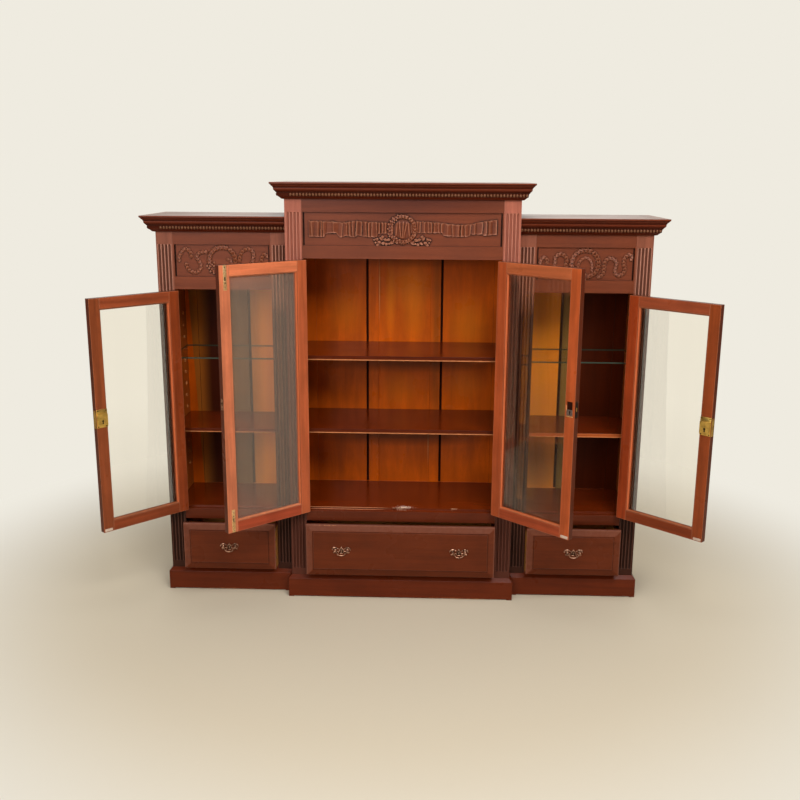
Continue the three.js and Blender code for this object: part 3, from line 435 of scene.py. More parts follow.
def slab(lo, hi, band=0.0, rub=1.0, more=((), (), ())):
    """A board between two corners. With a band, each side is cut that far from its edges, and the wear of the
    points on an edge is rub and of the rest 0; more gives further cuts along each axis. Returns points, faces and
    wear."""
    lo, hi = np.minimum(lo, hi).astype(float), np.maximum(lo, hi).astype(float)
    cuts = []
    for a, b, extra in zip(lo, hi, more):
        rim = min(band, (b - a) / 3)
        cuts.append(np.unique([a, a + rim, b - rim, b, *extra]))
    points, faces, count = [], [], 0
    for axis in range(3):
        one, two = [k for k in range(3) if k != axis]
        for end in (0, 1):
            p, q = np.meshgrid(cuts[one], cuts[two], indexing="ij")
            face = np.zeros((*p.shape, 3))
            face[..., one], face[..., two], face[..., axis] = p, q, (lo, hi)[end][axis]
            cells = quads(*p.shape, start=count)
            faces += (cells[:, ::-1] if (end == 1) == (axis == 1) else cells).tolist()
            points.append(face.reshape(-1, 3))
            count += p.size
    points = np.concatenate(points)
    unique, where = np.unique(points.round(5), axis=0, return_inverse=True)
    faces = [where.reshape(-1)[list(face)].tolist() for face in faces]
    extreme = (np.isclose(unique, lo) | np.isclose(unique, hi)).sum(1)
    return unique, faces, rub * (extreme > 1)


def between(points, faces, low, high):
    """The faces whose middles lie between two corners, and the others."""
    middles = np.array([points[list(face)].mean(0) for face in faces])
    chosen = ((middles > low) & (middles < high)).all(1)
    return [[face for face, taken in zip(faces, chosen) if taken == wanted] for wanted in (True, False)]


def mortised(points, faces, axis, depth, low, high):
    """A board with a pocket: the cells between two corners are moved inwards along an axis, and walls join them
    to the rim that they left."""
    sunk, kept = between(points, faces, low, high)
    rim = {(face[k], face[(k + 1) % 4]) for face in sunk for k in range(4)}
    corners = sorted({corner for face in sunk for corner in face})
    moved = {corner: len(points) + k for k, corner in enumerate(corners)}
    deep = points[corners]
    deep[:, axis] -= depth
    walls = [[a, b, moved[b], moved[a]] for a, b in sorted(rim) if (b, a) not in rim]
    return np.concatenate([points, deep]), kept + walls + [[moved[corner] for corner in face] for face in sunk]


def pierced(lo, hi, low, high):
    """A thin plate across the first axis with a hole for a bolt: both faces lose the cell between two corners,
    and walls line the hole."""
    points, faces, _ = slab(lo, hi, more=((), (low[1], high[1]), (low[2], high[2])))
    gone, kept = between(points, faces, low, high)
    front = next(face for face in gone if points[face[0], 0] > (lo[0] + hi[0]) / 2)
    rear = [corner for face in gone for corner in face if corner not in front]
    twin = {a: next(b for b in rear if np.allclose(points[a, 1:], points[b, 1:])) for a in front}
    return points, kept + [[a, b, twin[b], twin[a]] for a, b in zip(front, front[1:] + front[:1])]


def joined(*solids):
    """Several solids as one, without their wear."""
    points, faces, count = [], [], 0
    for some, corners, *_ in solids:
        points.append(some)
        faces += [tuple(int(c) + count for c in face) for face in corners]
        count += len(some)
    return np.concatenate(points), faces


def softened(node, body, material, axis, soften=0.8, rule=None, extra=()):
    """A copy of a model node with its triangles joined into whole faces and its edges eased. rule gives, from
    each face's centre and normal in millimetres, a grain axis, a material number and a board number."""
    mesh = bpy.data.meshes.new(node + "_surface")
    source = bmesh.new()
    source.from_mesh(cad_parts[node].data)
    bmesh.ops.remove_doubles(source, verts=source.verts, dist=0.01 * MM)
    bmesh.ops.dissolve_limit(source, angle_limit=math.radians(0.3), verts=source.verts, edges=source.edges)
    source.to_mesh(mesh)
    source.free()
    mesh.materials.clear()
    for each in (material, *extra):
        mesh.materials.append(each)
    points = points_of(mesh)
    corners = np.empty(len(mesh.loops), int)
    mesh.loops.foreach_get("vertex_index", corners)
    boards = boards_of(points, axis, node)[corners]
    for face in mesh.polygons:
        face.material_index = 0
        if rule:
            chosen, number, own_board = rule(np.array(face.center) / MM, np.array(face.normal))
            face.material_index = number
            own = list(face.loop_indices)
            boards[own] = boards_of(points[corners[own]], chosen, node) + own_board * np.array([613, 271, 0])
    layer = mesh.attributes.new("board", "FLOAT_VECTOR", "CORNER")
    layer.data.foreach_set("vector", (boards * MM).astype(np.float32).ravel())
    return finish_piece(node + "_surface", mesh, body, soften, None, (node,))


def blurred(field, reach):
    """A height field averaged three times over the square that reaches that many points each way."""
    for _ in range(3):
        for axis in (0, 1):
            wide = np.pad(field, [(reach + 1, reach) if k == axis else (0, 0) for k in (0, 1)], mode="edge")
            total = np.cumsum(wide, axis)
            upper = np.take(total, np.arange(2 * reach + 1, total.shape[axis]), axis)
            lower = np.take(total, np.arange(0, total.shape[axis] - 2 * reach - 1), axis)
            field = (upper - lower) / (2 * reach + 1)
    return field


def wear_and_light_by(height, reach, scale):
    """Darkening and lightening from a height field: how far each point stands above the average round it, over
    scale, kept between -1 and 1."""
    return np.clip((height - blurred(height, reach)) / scale, -1, 1)


def relief_slab(x, z, depth, front, wear_and_light):
    """A face board with a worked face: its front is the height field y = front + depth(z, x) on the grid of x and
    z, its rim is carried straight back to a flat rear face."""
    gx, gz = np.meshgrid(x, z)
    face = np.stack([gx, front + depth, gz], -1).reshape(-1, 3)
    rows, columns = gx.shape
    index = np.arange(rows * columns).reshape(rows, columns)
    ring = np.concatenate([index[0, :-1], index[:-1, -1], index[-1, :0:-1], index[:0:-1, 0]])
    rear = face[ring].copy()
    rear[:, 1] = front + FACE_BOARD
    start, count = rows * columns, len(ring)
    k = np.arange(count)
    sides = np.stack([ring[k], start + k, start + (k + 1) % count, ring[(k + 1) % count]], -1)
    faces = quads(rows, columns).tolist() + sides.tolist() + [(start + k[::-1]).tolist()]
    return np.concatenate([face, rear]), faces, np.concatenate([wear_and_light.ravel(), np.zeros(count)])


def runs_of(path):
    """A plan path's points, and the direction, length and right-hand normal of each of its runs."""
    path = np.asarray(path, float)
    run = np.diff(path, axis=0)
    length = np.linalg.norm(run, axis=1)
    run /= length[:, None]
    return path, run, length, np.stack([run[:, 1], -run[:, 0]], -1)


def mitred(outline, path):
    """A moulding: a closed outline of (out, up) points carried along a plan path with mitred corners. Out is to
    the right of the path seen from above. Board coordinates run along the path and round the outline."""
    path, _, length, normal = runs_of(path)
    outline = np.asarray(outline, float)
    before, after = np.vstack([normal[:1], normal]), np.vstack([normal, normal[-1:]])
    mitre = (before + after) / (1 + (before * after).sum(1))[:, None]
    rows, columns = len(path), len(outline)
    xy = path[:, None] + outline[None, :, :1] * mitre[:, None]
    points = np.concatenate([xy, np.broadcast_to(outline[None, :, 1:], (rows, columns, 1))], -1)
    around = np.concatenate([[0], np.cumsum(np.linalg.norm(np.diff(outline, axis=0), axis=1))])
    along = np.concatenate([[0], np.cumsum(length)])
    boards = np.stack([np.repeat(along[:, None], columns, 1), np.repeat(around[None], rows, 0),
                       np.zeros((rows, columns))], -1)
    faces = quads(rows, columns, close_columns=True).tolist()
    faces += [list(range(columns)), [(rows - 1) * columns + c for c in range(columns)][::-1]]
    return points.reshape(-1, 3), faces, boards.reshape(-1, 3)


def turned(profile, steps=24):
    """A turned piece: (radius, height) points carried round the Z axis, with a face over each end."""
    profile = np.asarray(profile, float)
    angle = np.linspace(0, 2 * np.pi, steps, endpoint=False)
    rings = profile[:, None, :1] * np.stack([np.cos(angle), np.sin(angle)], -1)
    height = np.broadcast_to(profile[:, None, 1:], (len(profile), steps, 1))
    return np.concatenate([rings, height], -1).reshape(-1, 3), capped(len(profile), steps)


def across_wall(solid, x, way, y, z):
    """A turned piece laid with its axis along X, away from a wall at x."""
    points, faces = solid
    return np.stack([x + way * points[:, 2], y + points[:, 0], z + points[:, 1]], -1), faces


def along_depth(solid, x, way, y, z):
    """A turned piece laid with its axis along Y, away from a face at y."""
    points, faces = solid
    return np.stack([x + points[:, 0], y + way * points[:, 2], z + points[:, 1]], -1), faces


def smooth_line(points, steps):
    """A Catmull-Rom curve through points, with steps stretches between each pair."""
    p = np.asarray(points, float)
    p = np.vstack([2 * p[0] - p[1], p, 2 * p[-1] - p[-2]])
    t = np.linspace(0, 1, steps, endpoint=False)[:, None]
    parts = [0.5 * (2 * b + (c - a) * t + (2 * a - 5 * b + 4 * c - d) * t**2 + (3 * b - a - 3 * c + d) * t**3)
             for a, b, c, d in zip(p[:-3], p[1:-2], p[2:-1], p[3:])]
    return np.vstack([*parts, p[-2:-1]])


def tube(line, radius):
    """A round bar along a curve: circles of each point's radius on frames that turn as little as they can."""
    steps = 14
    tangent = np.gradient(line, axis=0)
    tangent /= np.linalg.norm(tangent, axis=1)[:, None]
    side = np.cross(tangent[0], [0.3, 0.5, 0.8])
    angle = np.linspace(0, 2 * np.pi, steps, endpoint=False)
    rings = []
    for at, t, r in zip(line, tangent, radius):
        side = side - t * (side @ t)
        side /= np.linalg.norm(side)
        rings.append(at + r * (np.cos(angle)[:, None] * side + np.sin(angle)[:, None] * np.cross(t, side)))
    return np.vstack(rings), capped(len(line), steps)


# ---------- crown mouldings ----------
def crown_outline(top):
    """The crown's section: fillet, hollow, large ogee, fillet, small ogee, sloping band for the beads, cove.
    Each point has a share of darkening, below 0 in the hollows, and of lightening, above 0 on the arrises."""
    rows = [(48, 0, 0.5), (48, -5.6, 0.6), (46.6, -6.2, -0.7), (46, -8.3, -0.4)]
    ogees = [([(44, -8.3), (41.5, -12.5), (38, -15), (36.4, -18.6), (35.6, -19.6)],
              [0, 4, 9, 16], [0.1, 0.4, -0.1, -0.8]),
             ([(34.8, -21.4), (34.4, -26.5), (31.2, -31), (28.4, -33.2), (26.6, -37)], [0, 5, 10, 16],
              [0.5, 0.2, -0.2, -0.8])]
    for (line, places, wear_and_light), after in zip(ogees, ([(34.8, -19.8, -0.6)], [(24.6, -37.4, -0.5), (20, -51.8, -0.2)])):
        curve = smooth_line(line, 4)
        rows += [(*point, w) for point, w in zip(curve, np.interp(np.arange(len(curve)), places, wear_and_light))] + after
    rows += [(*point, 0.1) for point in smooth_line([(18.4, -52.2), (15, -55.2), (12, -58), (9.2, -61)], 4)]
    rows += [(5, -61.4, -0.1), (5, -62, 0), (0.3, -62, 0), (0.3, 0, 0)]
    return np.array(rows)[:, :2] + [0, top], np.array(rows)[:, 2]


def bead_row(path, top):
    """Egg-shaped beads on the crown's sloping band: every 12 mm stands an ellipsoid, its height the square root of
    1 less the squares of the shares along and across, with a thin upright dart between."""
    pitch, corner = 12.0, 22.0
    path, run, length, normal = runs_of(path)
    low, high = np.array([20.2, -51.2]), np.array([24.8, -38.0])
    slope = (high - low) / np.linalg.norm(high - low)
    out = np.array([slope[1], -slope[0]])
    points, faces, wear_and_light, count = [], [], [], 0
    for k, start in enumerate(path[:-1]):
        s0 = corner * (normal[k - 1] @ run[k]) * -1 if k else 0.0
        s1 = length[k] + (corner * (normal[k + 1] @ run[k]) if k < len(run) - 1 else 0.0)
        number = max(1, int(round((s1 - s0) / pitch)))
        s, v = np.linspace(s0, s1, number * 12 + 1), np.linspace(0, 1, 9)
        gs, gv = np.meshgrid(s, v, indexing="ij")
        phase = (gs - s0) / ((s1 - s0) / number) % 1.0 - 0.5
        egg = np.sqrt(np.clip(1 - (phase / 0.42) ** 2 - ((gv - 0.5) / 0.5) ** 2, 0, None))
        dart = np.clip(1 - np.abs(np.abs(phase) - 0.5) / 0.06, 0, 1) * np.sin(np.pi * gv)
        h = 5.4 * egg + 2.6 * dart - 0.4
        across = low + gv[..., None] * (high - low) + h[..., None] * out
        xy = start + gs[..., None] * run[k] + across[..., :1] * normal[k]
        points.append(np.concatenate([xy, top + across[..., 1:]], -1).reshape(-1, 3))
        faces += quads(len(s), len(v), start=count).tolist()
        wear_and_light.append((0.5 * np.clip((h - 1.8) / 1.6, -0.6, 1)).ravel())
        count += gs.size
    return np.concatenate(points), faces, np.concatenate(wear_and_light)


def crown(node, path, top):
    """A cornice: the moulding, whose top face is painted pale as a painted reflection, the top board, painted the
    same way, and the row of beads.
    """
    outline, worn = crown_outline(top)
    points, faces, boards = mitred(outline, path)
    piece(node + "_moulding", (points, faces, np.tile(worn, len(path))), CAP_WOOD, boards=boards, smooth=30,
          replaces=(node,), outward=True, extra=(TOP_WOOD,),
          marks=[int(points[list(face), 2].min() > top - 0.1) for face in faces])
    board = slab((*np.min(path, 0), top - BOARD), (*np.max(path, 0), top), 6)
    piece(node + "_board", board[:2], TOP_WOOD, axis=0, soften=0.8)
    piece(node + "_beads", bead_row(path, top), ROW_WOOD, axis=0, smooth=50)


crown("centre_cornice", [(-CENTRE_HALF, BACK), (-CENTRE_HALF, CENTRE_FACE), (CENTRE_HALF, CENTRE_FACE),
                         (CENTRE_HALF, BACK)], CENTRE_TOP)
crown("left_cornice", [(-WING_OUTER, BACK), (-WING_OUTER, WING_FACE), (-CENTRE_HALF - SEAT, WING_FACE)], WING_TOP)
crown("right_cornice", [(CENTRE_HALF + SEAT, WING_FACE), (WING_OUTER, WING_FACE), (WING_OUTER, BACK)], WING_TOP)


# ---------- plinth, sides, floors, shelves, back ----------
def plinth_rule(centre, normal):
    """Returns and cross rails run front to back, the rest along the front."""
    return (1 if abs(normal[0]) > 0.5 else 0), 0, 0


def shelf(node):
    """A plain shelf with a painted highlight along the foot of its front edge; the edge's top is darker, and on the
    right wing's shelf lighter, as painted light.
    """
    lo, hi = (np.array(corner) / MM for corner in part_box(node))
    points, faces, wear_and_light = slab(lo, hi, 8)
    foot = np.isclose(points[:, 2], lo[2])
    lit = node == "right_wood_shelf"
    # Painted highlight along the foot of the front edge; its top darker, on the lit shelf lighter
    wear_and_light = wear_and_light * np.isclose(points[:, 1], lo[1]) * np.where(foot, 1.8, 0.3 if lit else -0.35)
    piece(node + "_board", (points, faces, wear_and_light), SHELF_WOOD, axis=0, soften=1.8, slot="shelf_mahogany",
          extra=(LIT_EDGE if lit else SHELF_EDGE,), marks=np.repeat([0, 0, 1, 0, 0, 0], CELLS), replaces=(node,))


def floor_rule(centre, normal):
    """A bay's floor: the board's top is varnished as the shelves are, the rail is as the carcass."""
    return 0, int(centre[2] > 345 and normal[2] > 0.5), 0


softened("plinth", "case", PLINTH_WOOD, 0, 1.0, rule=plinth_rule)
for side in ("left", "right"):
    softened(f"{side}_floor", "case", CARCASS, 0, 1.0, rule=floor_rule, extra=(SHELF_WOOD,))
    shelf(f"{side}_wood_shelf")
softened("centre_floor", "case", CARCASS, 0, 1.0, rule=floor_rule, extra=(FLOOR_WOOD,))
for level in ("upper", "lower"):
    shelf(f"centre_{level}_shelf")


def back_rule(centre, normal):
    """Each stile, panel and muntin is a board of its own. The gaps beside the muntins are painted dark, painted
    shade.
    Outwards, each wing has golden boards, painted light, then darker ones, painted shade. The rear face is painted
    dark too, painted shade behind the rear boards' joints."""
    x, y = abs(centre[0]), centre[1]
    # Where the boards of each half end, out from the middle
    ends = [109.5, 152.5, 162.5, 375, 445, 495, 668, 678, 721, 884]
    board = int(np.searchsorted(ends, x)) + (len(ends) + 1) * (centre[0] > 0)
    gap = (y > 5.5 and y < 9.5 and normal[1] < -0.5) or (abs(normal[0]) > 0.5 and 0 < y < 9)
    dark, muntin = (2, 0) if centre[0] > 0 else (5, 3)
    wood = dark if x > ends[6] else 4 if x > ends[4] else muntin if ends[0] - 0.5 < x < ends[1] + 0.5 else 0
    number = 1 if gap or normal[1] > 0.5 else wood
    return 2, number, board


softened("back_boards", "case", BACK_WOOD, 2, 0.8, rule=back_rule,
         extra=(SHADOW_WOOD, DARK_BACK, MUNTIN_WOOD, GOLD_BACK, SHADED_BACK))


def rear_boards():
    """The rear: upright boards butted edge to edge, with a 1 mm joint on each side. The centre's boards are taller
    than the wings'."""
    joint = 1.0
    spots = points_of(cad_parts["back_boards"].data)
    spots = spots[spots[:, 1] > BACK - 0.1]
    half, low, high = spots[:, 0].max(), spots[:, 2].min(), spots[:, 2].max()
    wing_high = spots[np.abs(spots[:, 0]) > half - 1, 2].max()
    step = spots[spots[:, 2] > high - 1, 0].max()
    cuts = np.concatenate([np.linspace(-half, -step, 4), np.linspace(-step, step, 7)[1:],
                           np.linspace(step, half, 4)[1:]])
    for number, (a, b) in enumerate(zip(cuts[:-1], cuts[1:])):
        top = high if abs(a + b) / 2 < step else wing_high
        board = slab((a + joint, BACK - 0.6, low + 0.3), (b - joint, BACK + 0.4, top - 0.3), 4, 0.5)
        piece(f"rear_board_{number + 1}", board, REAR_WOOD, axis=2, slot="back_wood")


rear_boards()


def drilled_wall(x, depth, y0, y1, z0, z1, columns, levels):
    """One face of an upright at x, flat but for round pin holes: squares round the holes hold fans of faces from
    the square's corners to a 16-sided ring, and each ring is carried depth inwards to a flat bottom. A cut at
    the wings' roof lets the part above it have its own material."""
    radius, reach, sides = 5.0, 7.0, 16
    quarter = sides // 4
    ys = np.array(sorted({y0, y1, *[c + s for c in columns for s in (-reach, reach)]}))
    zs = np.array(sorted({z0, WING_ROOF, z1, *[c + s for c in levels for s in (-reach, reach)]}))
    gy, gz = np.meshgrid(ys, zs)
    points = [np.stack([np.full(gy.size, x), gy.ravel(), gz.ravel()], -1)]
    cells = quads(len(zs), len(ys))
    middle = points[0][cells].mean(1)
    holes = {(c, level) for c in columns for level in levels}
    faces, count = [], gy.size
    angle = (np.arange(sides) + 0.5) * 2 * np.pi / sides - np.pi
    for cell, centre in zip(cells, middle):
        at = next((h for h in holes if abs(h[0] - centre[1]) < 0.1 and abs(h[1] - centre[2]) < 0.1), None)
        if at is None:
            faces.append(cell.tolist())
            continue
        ring = np.stack([np.full(sides, x), at[0] + radius * np.cos(angle), at[1] + radius * np.sin(angle)], -1)
        deep = ring + [depth, 0, 0]
        points += [ring, deep]
        for corner in range(4):
            own, after = int(cell[corner]), int(cell[(corner + 1) % 4])
            ring_of = [count + (quarter * corner + k) % sides for k in range(quarter + 1)]
            faces += [[own, ring_of[k + 1], ring_of[k]] for k in range(quarter)]
            faces.append([own, after, ring_of[-1]])
        faces += quads(2, sides, close_columns=True, start=count).tolist()
        faces.append([count + sides + k for k in range(sides)])
        count += 2 * sides
    return np.concatenate(points), faces


def pin_levels(pins, low, high):
    """Pin holes at an even pitch of about 50 mm that passes through both shelf levels."""
    pitch = (max(pins) - min(pins)) / 6
    first = math.ceil((low - min(pins)) / pitch)
    last = math.floor((high - min(pins)) / pitch)
    return [round(min(pins) + k * pitch, 3) for k in range(first, last + 1)]


def upright(node, inner, outer, bay, back, walls):
    """A side of the carcass: a plain core with an inner face drilled for shelf pins on each side that has a
    shelf. walls holds, for each drilled face, its x, the way it faces, its bay, and its drawer runner's width."""
    x0, x1 = sorted((inner, outer))
    front, top = bay["face"] + FACE_BOARD + SEAT, bay["top"] - BOARD - SEAT
    skin = 4.0
    skins = [x for x, *_ in walls]
    core = slab((x0 + skin * (x0 in skins), front, STAND), (x1 - skin * (x1 in skins), back, top), 5)
    piece(node + "_board", core[:2], CARCASS, axis=2, soften=0.6, replaces=(node,))
    for number, (x, way, room, width) in enumerate(walls, 1):
        columns, levels = (room["face"] + PIN_FRONT, BACK_SHEET - PIN_INSET), pin_levels(room["pins"], *room["holes"])
        rim, edges, _ = slab((x - skin * way, front, STAND), (x - 0.01 * way, back, top))
        edges = [face for face in edges if np.ptp(rim[list(face), 0]) > 1]
        points, faces = joined(drilled_wall(x, -skin * way, front, back, STAND, top, columns, levels), (rim, edges))
        # Faces in the holes, and the skin's edges, take the dark wood as painted shade; above the wings' roof, the
        # carcass
        corners = [points[list(face)] for face in faces]
        marks = [2 if at[:, 2].min() > WING_ROOF - 0.5 else int(np.abs(at[:, 0] - x).max() > 1) for at in corners]
        piece(f"{node}_drilled_face_{number}", (points, faces), INNER_WOOD, axis=2, outward=True,
              extra=(SHADOW_WOOD, CARCASS), marks=marks)
        pin = turned([(0.01, -3), (3.0, -3), (3.0, 8.2), (2.2, 9), (0.01, 9)], 12)
        for c in columns:
            for level in room["pins"]:
                piece(f"{node}_pin_{number}_{int(c + 400)}_{int(level)}", across_wall(pin, x, way, c, level),
                      OLD_BRASS, smooth=40, slot="aged_brass", outward=True)
        # A worn raised collar, open at its ends, round each hole that holds no pin
        ring, faces = turned([(5.0, -3.5), (7.6, -3.5), (7.6, 1.6), (6.6, 2.4), (5.0, 2.0)], 16)
        free = [(c, level) for c in columns for level in levels if min(abs(level - at) for at in room["pins"]) > 1]
        collars = [across_wall((ring, faces[:-2]), x, way, c, level) for c, level in free]
        piece(f"{node}_collars_{number}", joined(*collars), PALE_CHIP, smooth=40)
        runner = slab((x, room["face"] + FACE_BOARD + SEAT, STAND), (x + way * width, BACK_SHEET - PIN_INSET, 110), 3)
        piece(f"{node}_runner_{number}", runner[:2], DRAWER_WOOD, axis=1, soften=0.6)


for sign, side in ((-1, "left"), (1, "right")):
    wall, end = sign * (CENTRE_HALF - BOARD), sign * (WING_OUTER - BOARD)
    upright(f"centre_{side}_side", wall, sign * CENTRE_HALF, CENTRE, BACK_SHEET,
            [(wall, -sign, CENTRE, 60), (sign * CENTRE_HALF, sign, WING, 82.3)])
    upright(f"{side}_outer_side", end, sign * WING_OUTER, WING, BACK, [(end, -sign, WING, 62)])


# ---------- pilasters ----------
def fluted(node, x0, x1, bay, material, age):
    """A pilaster: four flutes with round ends. The face sinks by the root of the radius squared less the square
    of the distance from each flute's centre line, which ends one radius short of the flute. age is how far the
    lands are lighter and the flutes darker: partly rubbing and old wax, partly a painted highlight on the lands and
    painted shade in the flutes."""
    radius, pitch, count = 4.6, 13.2, 4
    low, high = STAND + 27, bay["panel"][1]
    x = np.linspace(x0, x1, 161)
    z = np.concatenate([[STAND, STAND + 3], np.linspace(low - 2, low + radius + 1, 14),
                        np.linspace(low + 12, high - 12, 24), np.linspace(high - radius - 1, high + 2, 14),
                        [bay["top"] - BOARD - SEAT]])
    gx, gz = np.meshgrid(x, z)
    middle = (x0 + x1) / 2
    depth = np.zeros_like(gx)
    for k in range(count):
        cx = middle + (k - (count - 1) / 2) * pitch
        dz = np.maximum(np.maximum(low + radius - gz, gz - (high - radius)), 0)
        depth = np.maximum(depth, np.sqrt(np.clip(radius**2 - (gx - cx) ** 2 - dz**2, 0, None)))
    rim = np.minimum(gx - x0, x1 - gx)
    land = np.clip(1 - depth / 0.4, 0, 1) * (gz > low) * (gz < high) * (rim > 5) * 0.4 * age
    wear_and_light = land - 0.34 * age * np.clip((depth - 1.0) / 3.0, 0, 1) + 0.4 * np.clip(1 - rim / 0.8, 0, 1)
    piece(node + "_surface", relief_slab(x, z, depth, bay["face"], wear_and_light), material, axis=2, smooth=32,
          replaces=(node,))


for sign, side in ((-1, "left"), (1, "right")):
    for node, near, away, bay, kind, age in (
            (f"centre_{side}_pilaster", CENTRE_EDGE, CENTRE_HALF, CENTRE, "centre", 1),
            (f"{side}_inner_pilaster", CENTRE_HALF + SEAT, WING_EDGE_IN, WING, "wing", 2),
            (f"{side}_outer_pilaster", WING_EDGE_OUT, WING_OUTER, WING, "wing", 2)):
        fluted(node, *sorted((sign * near, sign * away)), bay, PILASTER_WOODS[kind], age)


# ---------- friezes ----------
class Carving:
    """A height field over a grid of x and z, in millimetres above the sunk panel, built up stamp by stamp."""

    def __init__(self, xs, zs, middle, row):
        self.xs, self.zs = xs - middle, zs - row
        self.height = np.zeros((len(zs), len(xs)))

    def stamp(self, cx, cz, reach, shape):
        """Raises the field to shape(x, z) within reach of a centre, wherever that stands higher."""
        i0, i1 = np.searchsorted(self.xs, [cx - reach, cx + reach])
        k0, k1 = np.searchsorted(self.zs, [cz - reach, cz + reach])
        gx, gz = np.meshgrid(self.xs[i0:i1] - cx, self.zs[k0:k1] - cz)
        here = self.height[k0:k1, i0:i1]
        np.maximum(here, shape(gx, gz), out=here)

    def berry(self, cx, cz, radius, height):
        """A round berry: half a ball on a low base."""
        self.stamp(cx, cz, radius, lambda x, z: (height - radius * 0.6) * (x**2 + z**2 < radius**2)
                   + radius * 0.6 * np.sqrt(np.clip(1 - (x**2 + z**2) / radius**2, 0, None)))

    def leaf(self, cx, cz, angle, length, width, low, high):
        """A pointed leaf that rises from low at its foot to high at its tip: its half width follows the sine of
        its length, its section is round with a sunk midrib."""
        c, s = math.cos(angle), math.sin(angle)

        def shape(x, z):
            u = (x * c + z * s) / length
            v = (-x * s + z * c) / width
            half = np.sin(np.pi * np.clip(u, 0, 1) ** 0.8) ** 0.7
            inside = (u > 0) & (u < 1) & (np.abs(v) < half)
            across = np.abs(v) / np.maximum(half, 1e-6)
            body = 0.45 + 0.55 * np.sqrt(np.clip(1 - across**2, 0, 1)) - 0.3 * np.exp(-((v / 0.2) ** 2))
            return np.where(inside, (low + (high - low) * u) * body, 0)

        self.stamp(cx, cz, length, shape)

    def rosette(self, cx, cz, radius, height, petals):
        """A flower: petals round a button, the rim's height following a cosine of the angle."""

        def shape(x, z):
            r, a = np.hypot(x, z) / radius, np.arctan2(z, x)
            rim = 0.82 + 0.18 * np.cos(petals * a)
            petal = height * np.sqrt(np.clip(1 - (r / rim) ** 2, 0, None)) * (0.7 + 0.3 * np.cos(petals * a))
            button = height * np.sqrt(np.clip(1 - (r / 0.3) ** 2, 0, None))
            return np.where(r < rim, np.maximum(petal * (0.6 + 0.4 * np.clip(r / 0.5, 0, 1)), button), 0)

        self.stamp(cx, cz, radius, shape)

    def garland(self, line, half, height, pitch, lobes=0.3):
        """A leafy stem along a curve: at arc length s and distance d from it the height is a half round,
        root(1 - (d / w) squared), where w swells over each pitch into a lobe and the surface climbs along s - |d|
        and drops again, so that each pair of leaves overlaps the next."""
        line = np.asarray(line, float)
        gx, gz = np.meshgrid(self.xs, self.zs)
        near, along, start = np.full(gx.shape, 1e6), np.zeros(gx.shape), 0.0
        for (x0, z0), (x1, z1) in zip(line[:-1], line[1:]):
            run = math.hypot(x1 - x0, z1 - z0)
            t = np.clip(((gx - x0) * (x1 - x0) + (gz - z0) * (z1 - z0)) / run**2, 0, 1)
            d = np.hypot(gx - x0 - t * (x1 - x0), gz - z0 - t * (z1 - z0))
            along = np.where(d < near, start + t * run, along)
            near = np.minimum(near, d)
            start += run
        count = max(1, round(start / pitch))
        phase = along / start * count
        ends = np.clip(np.minimum(along, start - along) / (1.2 * half) + 0.45, 0, 1)
        wide = half * ends * (1 - lobes + lobes * np.abs(np.sin(np.pi * phase)) ** 0.7)
        climb = (phase - 0.5 * near / half) % 1.0
        round_part = np.sqrt(np.clip(1 - (near / wide) ** 2, 0, None))
        vein = 0.18 * np.exp(-((near / (0.16 * half)) ** 2))
        body = height * round_part * (0.45 + 0.55 * climb - vein)
        self.height = np.maximum(self.height, body)


def ring_line(radius, start):
    """A full circle of points from an angle in degrees."""
    angle = np.radians(start + np.linspace(0, 360, 73))
    return np.stack([radius * np.cos(angle), radius * np.sin(angle)], -1)


# The wings' garlands, each carved by hand in its own way, in millimetres from the middle of the wreath
GARLANDS = {
    -1: [
        [(-55, 33), (-74, 32), (-91, 27), (-99, 14), (-93, 0), (-85, -16), (-88, -34), (-105, -46), (-126, -41),
         (-138, -26), (-142, -9)],
        [(-121, 8), (-122, 28), (-135, 43), (-149, 42), (-161, 28), (-170, 7), (-165, -5)],
        [(60, -20), (67, 4), (71, 22), (80, 36), (93, 44), (108, 45), (122, 30), (119, 4), (114, -18), (122, -38),
         (140, -40), (150, -18), (154, 10), (166, 25), (178, 14)],
        [(-34, -44), (-36, -22), (-31, -4)],
        [(15, 6), (28, 4), (37, -10), (38, -28)],
    ],
    1: [
        [(46, -47), (58, -49), (70, -34), (73, -10), (76, 10), (89, 21), (105, 19), (119, 4), (115, -20), (119, -38),
         (131, -44), (145, -36), (152, -20), (147, 0), (148, 18), (157, 32), (170, 35), (178, 24), (170, 14)],
        [(-60, -34), (-73, -8), (-71, 17), (-84, 33), (-101, 35), (-114, 22), (-116, -2), (-124, -26), (-138, -38),
         (-152, -26)],
        [(-148, -4), (-145, 12), (-157, 22), (-170, 12), (-171, -4)],
        [(-27, -34), (-27, -8), (-18, 12), (0, 23), (17, 15), (26, -2), (28, -30)],
    ],
}


def wing_relief(xs, zs, middle, row, sign):
    """The wings' carving: a laurel wreath with berries at its foot, over loose serpentine garlands."""
    field = Carving(xs, zs, middle, row)
    for line in GARLANDS[sign]:
        inside = math.hypot(*line[1]) < 50
        field.garland(smooth_line(line, 4), 7.2 if inside else 8.8, 5.0 if inside else 6.4, 13.0, 0.6)
    field.garland(ring_line(51, 60), 10.4, 7.9, 14.5, 0.38)
    rng = np.random.default_rng(5)
    for k in range(20):
        angle = math.radians(196 + 80 * (k + rng.random()) / 20)
        reach = 51 + (12, -12, 3)[k % 3] * (0.6 + 0.4 * rng.random())
        field.berry(reach * math.cos(angle), reach * math.sin(angle), 4.2, 8.2)
    return field.height


